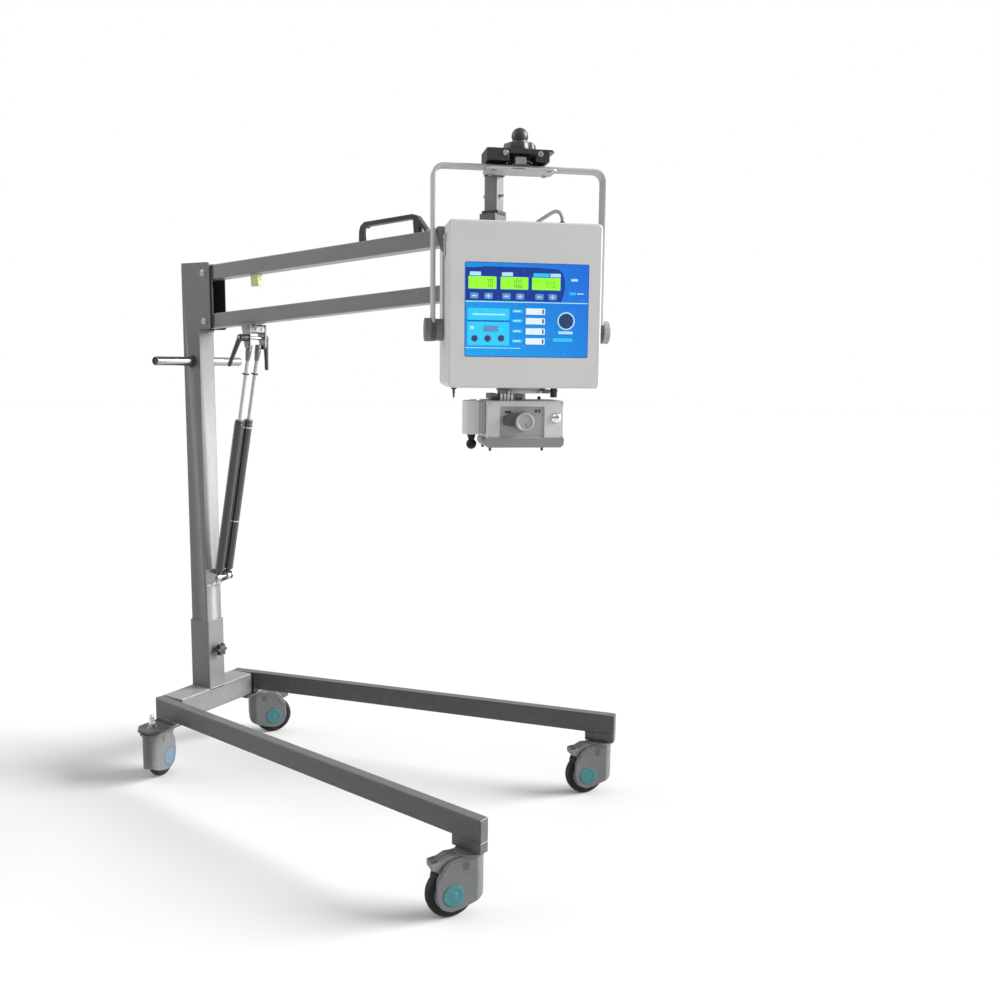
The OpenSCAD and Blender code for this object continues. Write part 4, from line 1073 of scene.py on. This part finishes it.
g = G(HEAD)
z0, z1 = TOPB - 14, TOPB - 9
g.plate(rpoly([(-44, -78), (-36, -86), (36, -86), (44, -78), (44, 78), (36, 86), (-36, 86), (-44, 78)], 3, 3), [rbox2(38, -30, 41.5, 26, 1.5)], z0, z1, "xy", 1.2, 3)
g.box((40, -80, z0 - 1.2), (43.2, 80, z0 + 2), 0.8, 2)
g.box((42.6, -26, z0 + 0.8), (44.2, 4, z0 + 3.2), 0.5, 1, mat=1)
for x in (-32, 32):
    for y in (-68, 68):
        X = T((x, y, z0)) @ R("X", 180)
        g.lathe([(0, 0), (7, 0), (7, 1), (0, 1)], X, 28, 2)
        g.prism(hexagon(6, 10), 1, 4, "xy", 0.5, 2, 2, X)
piece("saddle_plate_v", g, "bail", ["bail", "gasket", "zinc"], "saddle_plate")

g = G(HEAD)
g.lathe([(0, TOPB), (29.5, TOPB), (31, TOPB + 1.2), (31, TOPB + 6), (29, TOPB + 6.8), (29, TOPB + 8.2), (31, TOPB + 9), (31, TOPB + 17.6), (29.6, TOPB + 19), (24, TOPB + 19), (24, TOPB + 26), (22.8, TOPB + 27), (10, TOPB + 27), (10, TOPB + 54), (9, TOPB + 55.6), (0, TOPB + 55.6)], None, 64)
piece("pan_stud_v", g, "bail", ["bright"], "pan_stud")

g = G(HEAD)
oct_ = []
for k in range(160):
    a = 2 * pi * k / 160
    oct_.append(((39.8 + 1.9 * cos(8 * a)) * cos(a), (39.8 + 1.9 * cos(8 * a)) * sin(a)))
bm = bmesh.new()
zs = [(1826.7, 0.985), (1828, 1.0), (1832, 0.995), (1840, 0.955), (1843.4, 0.93), (1844.6, 0.90)]
rings = [[bm.verts.new((x * k, y * k, z)) for x, y in oct_] for z, k in zs]
for a, b in zip(rings, rings[1:]):
    for i in range(len(a)):
        bm.faces.new((a[i], a[(i + 1) % len(a)], b[(i + 1) % len(a)], b[i]))
bm.faces.new(rings[0])
bm.faces.new(rings[-1])
g.take(bm, 0)
g.lathe([(0, 1844), (20, 1844), (18.6, 1846), (18, 1849), (17.6, 1852), (16.4, 1854), (0, 1854)], None, 56)
ballp = [(20.5 * cos(radians(a)), 1863 + 20.5 * sin(radians(a))) for a in range(-52, 84, 6)]
g.lathe([(0, 1848)] + ballp + [(4, 1863 + 20.3), (3.6, 1882.6), (0, 1882.6)], None, 64)
piece("top_knob_v", g, "bail", ["dark"], "top_knob")

# ------------------------------------------------------------------ head
HW, HD = 187.5, 104.0
g = G(HEAD)
g.prism(rrect(375, 394, 12, 8, 0, 1451), -13.2, 104, "yz", 5, 5, rims=(False, True), deg=40)
piece("front_shell_v", g, "head", ["head"], "front_shell", deg=40)


def head_screws(g, s, pts, mat):
    for a, z in pts:
        X = T((a, s * (HW if a > -14 else 184.5), z)) @ R("X", -90 * s)
        g.lathe([(0, -0.4), (4.4, -0.4), (4.4, 0.5), (3.6, 1.1), (1.5, 1.2), (1.4, 0.3), (0, 0.3)], X, 28, mat)


g = G(HEAD)
g.prism(rrect(369, 388, 11, 8, 0, 1451), -104, -14.8, "yz", 5, 5, rims=(True, False), deg=40)
# rear: louvres and cover screws
for k in range(9):
    z = 1360 + k * 11
    g.prism(rpoly([(-78, z), (78, z), (78, z + 4.6), (-78, z + 4.6)], 2.2, 4), -104.6, -103, "yz", 0.4, 1, mat=1)
for b in (-150, 150):
    for z in (1300, 1451, 1602):
        g.lathe([(0, 0), (4.4, 0), (4.2, 0.8), (3.2, 1.3), (1.4, 1.3), (1.3, 0.5), (0, 0.5)], T((-104, b, z)) @ R("Y", -90), 28, 2)
piece("rear_shell_v", g, "head", ["head", "gasket", "zinc"], "rear_shell", deg=40)

g = G(HEAD)
g.prism(rrect(366, 385, 10, 8, 0, 1451), -15.4, -12.6, "yz", 0)
piece("shell_gasket", g, "head", ["gasket"], ())

g = G(HEAD)
for s in (-1, 1):
    head_screws(g, s, [(52, 1598), (52, 1306), (-70, 1292), (-70, 1598)], 0)
piece("shell_screws", g, "head", ["zinc"], ())

g = G(HEAD).cad("tube_block")
g.edge(2, 2)
piece("tube_block_v", g, "head", ["iron"], "tube_block")

# stand-off bracket between the bail and the head's left side, with its plate
g = G(HEAD)
g.prism(rpoly([(-188, 1640), (-205, 1640), (-203, 1628), (-192, 1588), (-188, 1582)], 1.5, 2), -14, 26, "yz", 1.0, 2, 0)
g.box((14, -190.4, 1566), (58, -187, 1622), 1.2, 2, 1)
g.prism(rrect(6, 20, 2.9, 4, 78, 1608), -188.1, -187.2, "xz", 0.3, 1, 0)
for z in (1574, 1613):
    g.lathe([(0, 0), (3.6, 0), (3.6, 1), (2.8, 1.7), (1.2, 1.7), (1.1, 0.9), (0, 0.9)], T((36, -190.4, z)) @ R("X", 90), 24, 2)
piece("side_bracket", g, "head", ["grey", "mid", "zinc"], ())

# small eye under the left front corner
g = G(HEAD)
g.lathe([(0, 1240), (3, 1240), (3, 1250), (7, 1250.5), (7, 1254.4), (0, 1254.4)], T((84, -171, 0)), 28)
ring = [(84 + 5.2 * cos(radians(a)), -171, 1236.5 + 5.2 * sin(radians(a))) for a in range(0, 361, 15)]
g.tube(ring, 1.9, 12, ends=False)
bmesh.ops.remove_doubles(g.bm, verts=g.bm.verts, dist=0.05)
piece("head_eye", g, "head", ["dark"], ())


# ---- control panel: film, windows, keys
def px_b(x):
    return -148 + (x - 464.2) * 303 / 124.2


def row_z(y):
    return 1551 - (y - 261.8) * 223 / 94.7


def patch(g, x0, y0, x1, y1, r, a0, a1, mat, bev=0.12):
    """A raised patch from pixel corners of the photograph's frame."""
    b0, b1 = px_b(x0), px_b(x1)
    z0, z1 = row_z(y1), row_z(y0)
    g.prism(rbox2(b0, z0, b1, z1, min(r, (b1 - b0) * 0.49, (z1 - z0) * 0.49)), a0, a1, "yz", bev, 1, mat)


FILM = ["film", "film_edge", "film_navy", "lcd", "film_pale", "film_cyan", "segs", "key", "navy", "film_slate", "dark"]
g = G(HEAD)
g.prism(rbox2(-148, 1328, 155, 1551, 4), 102.5, 104.35, "yz", 0.25, 2, 1)
g.prism(rbox2(-145.8, 1330.4, 152.8, 1548.8, 3), 103.5, 104.42, "yz", 0, 1, 0)
# navy band with a curved right end
b0, b1, z0, z1 = -145.6, px_b(562), row_z(300), row_z(267.5)
band = [(b0, z0), (b1 - 4, z0)] + [(b1 - 4 + 9 * sin(pi * k / 12), z0 + (z1 - z0) * k / 12) for k in range(1, 12)] + [(b1 - 14, z1), (b1 - 60, z1 + 3), (b0 + 46, z1 + 3), (b0 + 20, z1), (b0, z1)]
g.prism(band, 104.3, 104.5, "yz", 0, 1, 2)
for x0, x1 in ((467.7, 495.2), (499.4, 526.9), (530.7, 559.2)):
    patch(g, x0 - 0.7, 275.4, x1 + 0.7, 289.2, 2, 104.4, 104.6, 1)
    patch(g, x0, 276.2, x1, 288.4, 1.4, 104.45, 104.66, 3)
patch(g, 469, 271.6, 480, 275.8, 1.0, 104.4, 104.58, 4)
patch(g, 500.6, 271.6, 511.6, 275.8, 1.0, 104.4, 104.58, 4)
patch(g, 532, 271.8, 548, 275.8, 1.0, 104.4, 104.58, 5)
patch(g, 549, 271.8, 559.4, 275.8, 1.0, 104.4, 104.58, 4)
SEG = {"0": "abcdef", "1": "bc", "2": "abged", "3": "abgcd", "4": "fgbc", "5": "afgcd", "6": "afgedc", "7": "abc", "8": "abcdefg", "9": "abcdfg"}


def digit(g, ch, b, z, w=5.4, h=15.0, t=1.5, mat=6):
    """A seven-segment digit, slightly raised on the display."""
    x0, x1, zm = b, b + w, z + h / 2
    bars = {"a": (x0 + t * 0.6, z + h - t, x1 - t * 0.6, z + h), "g": (x0 + t * 0.6, zm - t / 2, x1 - t * 0.6, zm + t / 2), "d": (x0 + t * 0.6, z, x1 - t * 0.6, z + t), "f": (x0, zm + t * 0.4, x0 + t, z + h - t * 0.5), "e": (x0, z + t * 0.5, x0 + t, zm - t * 0.4), "b": (x1 - t, zm + t * 0.4, x1, z + h - t * 0.5), "c": (x1 - t, z + t * 0.5, x1, zm - t * 0.4)}
    for k in SEG[ch]:
        p0, q0, p1, q1 = bars[k]
        g.prism(rbox2(p0, q0, p1, q1, 0.5, 2), 104.6, 104.74, "yz", 0, 1, mat)


zd = row_z(287.2) + 0.5
for i, ch in enumerate("70"):
    digit(g, ch, px_b(485.2) + i * 9.0, zd, 6.4, 20)
for i, ch in enumerate("100"):
    digit(g, ch, px_b(511.2) + i * 8.6, zd, 6.2, 20)
for i, ch in enumerate("050"):
    digit(g, ch, px_b(544.4) + i * 8.6, zd + 3, 5.4, 14, 1.0)
# pairs of keys under the displays
for x in (473.4, 487.4, 505.2, 518.8, 538.2, 551.6):
    patch(g, x - 4.2, 292.4, x + 4.2, 298.4, 3, 104.4, 104.95, 9, 0.3)
    patch(g, x - 2.2, 294.9, x + 2.2, 296.1, 0.6, 104.8, 104.99, 4, 0)
    if x in (487.4, 518.8, 551.6):
        patch(g, x - 0.6, 293.4, x + 0.6, 297.6, 0.6, 104.8, 104.99, 4, 0)
# marks at the upper right
patch(g, 570, 276.6, 577, 279, 1.2, 104.4, 104.55, 4)
patch(g, 568.6, 290.2, 575, 292.8, 1.2, 104.4, 104.6, 5)
patch(g, 576.4, 290.9, 583, 292.1, 0.6, 104.4, 104.55, 4)
# divider and lower area
patch(g, 464.9, 300.6, 587.4, 301.5, 0.3, 104.38, 104.5, 4, 0)
patch(g, 467, 307.6, 508.4, 319.4, 2.5, 104.38, 104.52, 5)
patch(g, 472, 313.0, 504, 314.6, 1.4, 104.5, 104.6, 4, 0)
patch(g, 467, 321.4, 508.4, 344.8, 2.5, 104.38, 104.52, 5)
patch(g, 466.6, 320.0, 508.8, 320.7, 0.4, 104.38, 104.5, 2, 0)
patch(g, 469.6, 325.6, 473.4, 328.8, 2, 104.5, 104.6, 4)
patch(g, 482.8, 325.0, 497.4, 331.2, 1.5, 104.5, 104.7, 9)
for x, y in ((474, 338), (487, 338), (500.4, 337.6)):
    g.lathe([(0, 104.4), (7.2, 104.4), (7.2, 104.7), (6.4, 104.95), (0, 104.95)], T((0, px_b(x), row_z(y))) @ R("Y", 90), 40, 8)
    g.lathe([(7.2, 104.4), (8.8, 104.4), (8.8, 104.62), (7.2, 104.62)], T((0, px_b(x), row_z(y))) @ R("Y", 90), 40, 9, closed=True)
for y in (310.2, 319.9, 330.2, 340.2):
    patch(g, 524.8, y - 3.2, 544.2, y + 3.2, 1.8, 104.4, 104.98, 7, 0.35)
    patch(g, 541.4, y - 2.2, 543, y + 2.2, 0.8, 104.9, 104.99, 8, 0)
    patch(g, 511.4, y - 1.6, 521.6, y + 1.4, 2.0, 104.4, 104.54, 5)
    patch(g, 512.4, y - 0.7, 519.4, y + 0.5, 0.8, 104.5, 104.6, 4, 0)
# plain round button with a pale ring, and two bars
X = T((0, px_b(565.6), row_z(319.2))) @ R("Y", 90)
g.lathe([(0, 104.4), (21.5, 104.4), (21.5, 104.7), (20.9, 104.85), (18.6, 104.85), (18.2, 104.6), (0, 104.6)], X, 64, mats=[4, 4, 4, 4, 4, 8])
g.lathe([(0, 104.5), (17.4, 104.5), (17.4, 104.85), (16.2, 104.99), (0, 104.99)], X, 56, 8)
patch(g, 558, 329.6, 572.6, 332.4, 1.6, 104.4, 104.56, 4)
patch(g, 552.4, 336.6, 572.4, 340.2, 2.4, 104.4, 104.56, 5)
patch(g, 464.9, 347.0, 520, 347.7, 0.3, 104.38, 104.48, 4, 0)
piece("panel_v", g, "head", FILM, "panel", deg=50)

# ---- tilt knobs
for s, nm in ((-1, "left"), (1, "right")):
    g = G(HEAD)
    X = T((0, 0, 1394)) @ R("X", -90 * s)
    g.lathe([(0, 187.4), (25.6, 187.4), (27, 188.6), (27, 206), (25.8, 207.6), (0, 207.6)], X, 64, 0)
    g.lathe([(0, 187), (6, 187), (6, 222), (0, 222)], X, 24, 1)
    sc_ = []
    for k in range(180):
        a = 2 * pi * k / 180
        sc_.append(((27.6 + 1.2 * abs(cos(9 * a)) ** 0.6 * 1.1) * cos(a), (27.6 + 1.2 * abs(cos(9 * a)) ** 0.6 * 1.1) * sin(a)))
    g.prism(sc_, 218.4, 234, "xy", 1.6, 3, 0, X)
    g.lathe([(0, 233.5), (20, 233.5), (19.4, 234.4), (9.2, 234.4), (8.6, 233.9), (0, 233.9)], X, 48, 0)
    g.lathe([(0, 233.5), (6.5, 233.5), (6.5, 234.2), (5.6, 234.45), (0, 234.45)], X, 32, 1)
    # painted light: the right knob, on the lit side, takes the lighter mid plastic and the shaded left one the darker
    # grey
    piece("tilt_knob_%s_v" % nm, g, "head", ["grey" if s < 0 else "mid", "zinc"], "tilt_knob_" + nm)

# ---- cable over the head's top
CABLE = [(6, 36, 1652), (6, 48, 1662), (6, 66, 1674), (6, 82, 1684), (6, 92, 1688), (6, 101, 1686), (6, 107, 1677), (6, 109, 1668), (6, 109, 1656)]


def smooth_path(P, k=6):
    P = [Vector(p) for p in P]
    out = []
    for i in range(len(P) - 1):
        p0, p1, p2, p3 = P[max(i - 1, 0)], P[i], P[i + 1], P[min(i + 2, len(P) - 1)]
        for j in range(k):
            t = j / k
            out.append(0.5 * ((2 * p1) + (p2 - p0) * t + (2 * p0 - 5 * p1 + 4 * p2 - p3) * t * t + (3 * p1 - p0 - 3 * p2 + p3) * t ** 3))
    return out + [P[-1]]


g = G(HEAD)
g.tube(smooth_path([(6, 32, 1648.5)] + CABLE), 4.45, 20)
piece("cable_v", g, "head", ["cable"], "cable")
g = G(HEAD)
X = T((6, 109, 1648))
g.lathe([(0, 0), (11.4, 0), (11.4, 1), (0, 1)], X, 36, 1)
g.prism(hexagon(10, 15), 1, 7, "xy", 0.7, 2, 0, X)
g.lathe([(4.6, 7), (7.5, 7), (7.8, 8), (7.5, 12), (6.4, 15), (5.2, 16), (4.6, 16)], X, 36, 0, closed=True)
X = T((6, 38, 1648))
g.lathe([(7.8, 0), (11, 0), (11, 2.4), (9.8, 3.8), (8.2, 4), (7.8, 3.4)], X, 36, 0, closed=True)
piece("cable_gland_v", g, "head", ["dark", "zinc"], "cable_gland")

# ---- turntable with its rails and bolts
g = G(HEAD)
X = T((0, 11, 0))
g.lathe([(0, 1246), (60.6, 1246), (62, 1247.2), (62, 1252.8), (61, 1254), (0, 1254)], X, 72, 0)
g.lathe([(0, 1240), (57, 1240), (58, 1241), (58, 1246.4), (0, 1246.4)], X, 72, 1)
for b in (-44, 66):
    g.box((20, b - 9, 1240.2), (52, b + 9, 1250), 1.2, 2, 2)
for a, b in ((56, -30), (56, 50), (50, 11)):
    bolt(g, T((a * 0.96, b, 1246.2)) @ R("X", 180), 3.4, 4.2, 3, "cap", washer=True)
g.lathe([(0, 1230), (7.4, 1230), (8.5, 1231), (8.5, 1244), (10, 1244.5), (10, 1248), (8.5, 1248.5), (8.5, 1254.2), (0, 1254.2)], T((34, 88, 0)), 36, 4)
piece("turntable_v", g, "head", ["mid", "pale", "grey", "zinc", "dark"], "turntable")

# ------------------------------------------------------------------ collimator
g = G(HEAD)
g.box((-68, -86, 1127), (68, 108, 1222.5), 3.4, 4)
c = G(HEAD)
c.prism(rbox2(-54, 1131.5, 58, 1208.5, 3), 65.2, 80, "yz", 0)
g.cut(c)
# painted shade: the recess's back face takes the darker mid material
for f in g.bm.faces:
    cc = f.calc_center_median()
    if abs(cc.x - 65.2) < 0.1 and -55 < cc.y < 59 and 1130 < cc.z < 1210:
        f.material_index = 1
g.edge(0.6, 2, 50, lambda e: all(v.co.x > 65 and -56 < v.co.y < 60 for v in e.verts))
# lower skirt
g.prism(rpoly([(-86.5, 1131, 1), (-90, 1124, 4), (-90, 1114, 5), (-84, 1107, 4), (100, 1107, 4), (107.6, 1114, 5), (108, 1131, 1)], 3, 4), -68, 72, "yz", 4.0, 4, 2)
for y in (-77, 54):
    for x in (60, -60):
        g.lathe([(0, 1098.4), (2.6, 1098.4), (3.4, 1099.4), (3.4, 1104), (4.6, 1107.5), (0, 1107.5)], T((x, y, 0)), 28, 3)
g.box((-50, -60, 1106.2), (50, 80, 1107.4), 0.5, 2, 5)
# neck up to the turntable
X = T((0, 11, 0))
g.lathe([(0, 1222), (35, 1222), (36, 1223), (36, 1236), (34.6, 1237.4), (34.6, 1239.4), (0, 1239.4)], T((0, -14, 0)), 72, 7)
# dark mounting plate at the left with its two blocks, pale pins between them
g.box((-30, -74, 1225), (46, -55, 1239.4), 1.6, 2, 8)
g.box((46, -70, 1223), (55, -56, 1230), 1.4, 2, 3)
g.box((42, -9, 1223), (55, 5, 1239.4), 1.4, 2, 8)
bolt(g, T((55, -2, 1228)) @ R("Y", 90), 3.4, 2.2, 3, "cap", washer=False)
bolt(g, T((55, -63, 1226.6)) @ R("Y", 90), 3.0, 2.2, 3, "cap", washer=False)
for b in (-48, -39, -30, -21):
    g.lathe([(0, 1222), (2.7, 1222), (3, 1222.6), (3, 1238.6), (2.6, 1239.4), (0, 1239.4)], T((50, b, 0)), 24, 7)
bolt(g, T((50, 47, 1229)) @ R("Y", 90), 3.0, 3.0, 3, "cap", washer=True)
# marks at the recess's upper corners
g.box((65.1, -42, 1192), (65.7, -26, 1197.5), 0.2, 1, 3)
g.box((65.1, 34, 1193), (65.7, 40, 1201), 0.2, 1, 3)
g.box((65.1, 43, 1193), (65.7, 48, 1201), 0.2, 1, 3)
# cover screws
for b in (-80, 102):
    for z in (1134, 1216):
        g.lathe([(0, 0), (2.6, 0), (2.4, 0.5), (1, 0.6), (0.9, 0.2), (0, 0.2)], T((68, b, z)) @ R("Y", 90), 20, 6)
piece("collimator_v", g, "collimator", ["head", "mid", "head_low", "dark", "pale", "glass", "zinc", "white", "grey"], "collimator")

g = G(HEAD)
hs = [(20 + 27 * cos(radians(a)), -114 + 27 * sin(radians(a))) for a in range(180, 361, 6)]
g.prism(rpoly([(-7, -104, 0)] + [(x, y, 0) for x, y in hs] + [(47, -104, 0)], 0), 1138, 1222, "xy", 2.6, 3, deg=40)
# darker back part with two upright ridges; its mid material is painted shade, standing for the shaded gap between the
# housing and the body
g.box((-5.5, -107, 1139.5), (45.4, -85, 1220.5), 1.4, 2, 3)
for b in (-103.4, -97.4, -91.4):
    g.box((43, b - 1.2, 1141), (46.8, b + 1.2, 1219), 0.9, 2, 0)
g.lathe([(0, 1222), (9, 1222), (9, 1223), (8, 1223.8), (0, 1223.8)], T((20, -114, 0)), 32, 1)
Xr = T((10, 108, 1180)) @ R("X", -90)
g.lathe([(0, -0.5), (21, -0.5), (21, 1.5), (19.6, 3), (19.6, 7.6), (18.6, 9), (6, 9), (5, 8.2), (0, 8.2)], Xr, 56, 2)
piece("beam_housing_v", g, "collimator", ["head", "zinc", "white", "mid"], "beam_housing")

g = G(HEAD @ T((20, -118, 0)))
g.lathe([(0, 1119), (5, 1119), (6, 1120.5), (9.4, 1131), (11, 1137), (11, 1138), (0, 1138)], None, 40)
bp = [(13 * cos(radians(a)), 1113 + 13 * sin(radians(a))) for a in range(-90, 64, 7)]
g.lathe([(max(r, 0), z) for r, z in bp] + [(0, 1124)], None, 44)
piece("beam_lever_v", g, "collimator", ["ball"], "beam_lever")

g = G(HEAD)
X = T((0, 5, 1171)) @ R("Y", 90)
kn = []
for k in range(144):
    a = 2 * pi * k / 144
    kn.append(((23.6 + 0.4 * cos(36 * a)) * cos(a), (23.6 + 0.4 * cos(36 * a)) * sin(a)))
g.lathe([(0, 65), (25, 65), (25, 68), (24.2, 68.6), (0, 68.6)], X, 56, 1)
g.prism(kn, 68, 84, "xy", 0.6, 1, 0, X)
g.lathe([(0, 83.6), (23.4, 83.6), (23.2, 86), (21.8, 88), (19.6, 88.5), (17.6, 87.6), (16.4, 86.4), (0, 86.0)], X, 64, 0)
# a dark slate wedge left of the knob: painted shadow of the knob on the recess
g.prism(rpoly([(-20, -13, 2), (-50, -9, 7), (-52, 12, 8), (-30, 22, 10), (0, 22, 4), (0, -13, 4)], 4, 5), 65.4, 82, "yz", 3.4, 4, 4, T((0, 5, 1171)))
g.prism(rbox2(-1.2, -16, 1.2, -4, 1), 85.6, 87.2, "yz", 0.4, 1, 1, T((0, 5, 1171)) @ R("X", 28))
X = T((0, 87, 1180)) @ R("Y", 90)
g.lathe([(0, 67.6), (13, 67.6), (13, 69.4), (12.4, 70.4), (10.6, 72.6), (7.4, 74.2), (3.6, 74.9), (0, 75)], X, 48, 2)
piece("field_knob_v", g, "collimator", ["mid", "grey", "bright", "dark", "slate"], "field_knob")


# ------------------------------------------------------------------ floor, light, world
def floor_material():
    M = Mat("floor_pale")
    c = M.mix(M.rng(M.noise(1.6, 2), 0.3, 0.7), (0.66, 0.66, 0.66), (0.68, 0.68, 0.68))
    M.put(Base_Color=c, Roughness=0.55)
    return M.m


me = bpy.data.meshes.new("floor")
bm = bmesh.new()
bmesh.ops.create_circle(bm, cap_ends=True, segments=96, radius=30)
bm.to_mesh(me)
bm.free()
me.materials.append(floor_material())
floor = bpy.data.objects.new("floor", me)
SCENE.collection.objects.link(floor)


def sun(name, az, el, strength, angle, col=(1, 1, 1)):
    """A broad, far light: az and el in degrees say where it comes from; strength is in units of a white card's brightness."""
    L = bpy.data.lights.new(name, "SUN")
    L.energy = strength * pi
    L.angle = radians(angle)
    L.color = col
    o = bpy.data.objects.new(name, L)
    SCENE.collection.objects.link(o)
    at = Vector((cos(radians(az)) * cos(radians(el)), sin(radians(az)) * cos(radians(el)), sin(radians(el))))
    o.matrix_world = T(at * 6) @ at.to_track_quat("Z", "Y").to_matrix().to_4x4()
    return o


sun("key", 32, 24, 2.3, 34, (1.0, 0.995, 0.985))
sun("fill", 200, 22, 0.35, 50, (0.97, 0.985, 1.0))

# soft boxes: white for the camera, even for diffuse light, with bright and dark panels for reflections
world = bpy.data.worlds.new("world")
SCENE.world = world
world.use_nodes = True
nt = world.node_tree


def wnode(kind, ins=None, **props):
    n = nt.nodes.new(kind)
    for k, v in props.items():
        setattr(n, k, v)
    for k, v in (ins or {}).items():
        if isinstance(v, bpy.types.NodeSocket):
            nt.links.new(v, n.inputs[k])
        else:
            n.inputs[k].default_value = v
    return n


def wmath(op, a, b=0.0):
    return wnode("ShaderNodeMath", {0: a, 1: b}, operation=op).outputs[0]


def panel(az, el, lo, hi):
    """1 towards a direction, falling to 0 at its edge; lo and hi are cosines."""
    v = (cos(radians(az)) * cos(radians(el)), sin(radians(az)) * cos(radians(el)), sin(radians(el)))
    dot = wnode("ShaderNodeVectorMath", {0: direction, 1: v}, operation="DOT_PRODUCT").outputs["Value"]
    return wnode("ShaderNodeMapRange", {"Value": dot, "From Min": lo, "From Max": hi, "To Min": 0.0, "To Max": 1.0}, clamp=True).outputs[0]


direction = wnode("ShaderNodeTexCoord").outputs["Generated"]
zc = wnode("ShaderNodeSeparateXYZ", {0: direction}).outputs[2]
lift = wnode("ShaderNodeMapRange", {"Value": zc, "From Min": 0.05, "From Max": 0.75, "To Min": 0.16, "To Max": 0.85}, clamp=True).outputs[0]
refl = wmath("ADD", lift, wmath("MULTIPLY", panel(32, 24, 0.86, 0.95), 1.6))
refl = wmath("ADD", refl, wmath("MULTIPLY", panel(200, 22, 0.86, 0.95), 0.7))
refl = wmath("ADD", refl, wmath("MULTIPLY", panel(-75, 40, 0.90, 0.97), 0.9))
soft = nt.nodes["Background"]
soft.inputs[0].default_value = (0.97, 0.985, 1.0, 1)
soft.inputs[1].default_value = 0.54
back = wnode("ShaderNodeBackground", {0: (1, 1, 1, 1), 1: 1.0})
mirror = wnode("ShaderNodeBackground", {0: (1, 1, 1, 1), 1: refl})
ray = wnode("ShaderNodeLightPath").outputs
m1 = wnode("ShaderNodeMixShader", {0: ray["Is Glossy Ray"], 1: soft.outputs[0], 2: mirror.outputs[0]})
m2 = wnode("ShaderNodeMixShader", {0: ray["Is Camera Ray"], 1: m1.outputs[0], 2: back.outputs[0]})
nt.links.new(m2.outputs[0], nt.nodes["World Output"].inputs[0])
SCENE.view_settings.view_transform = "Standard"
SCENE.view_settings.look = "None"
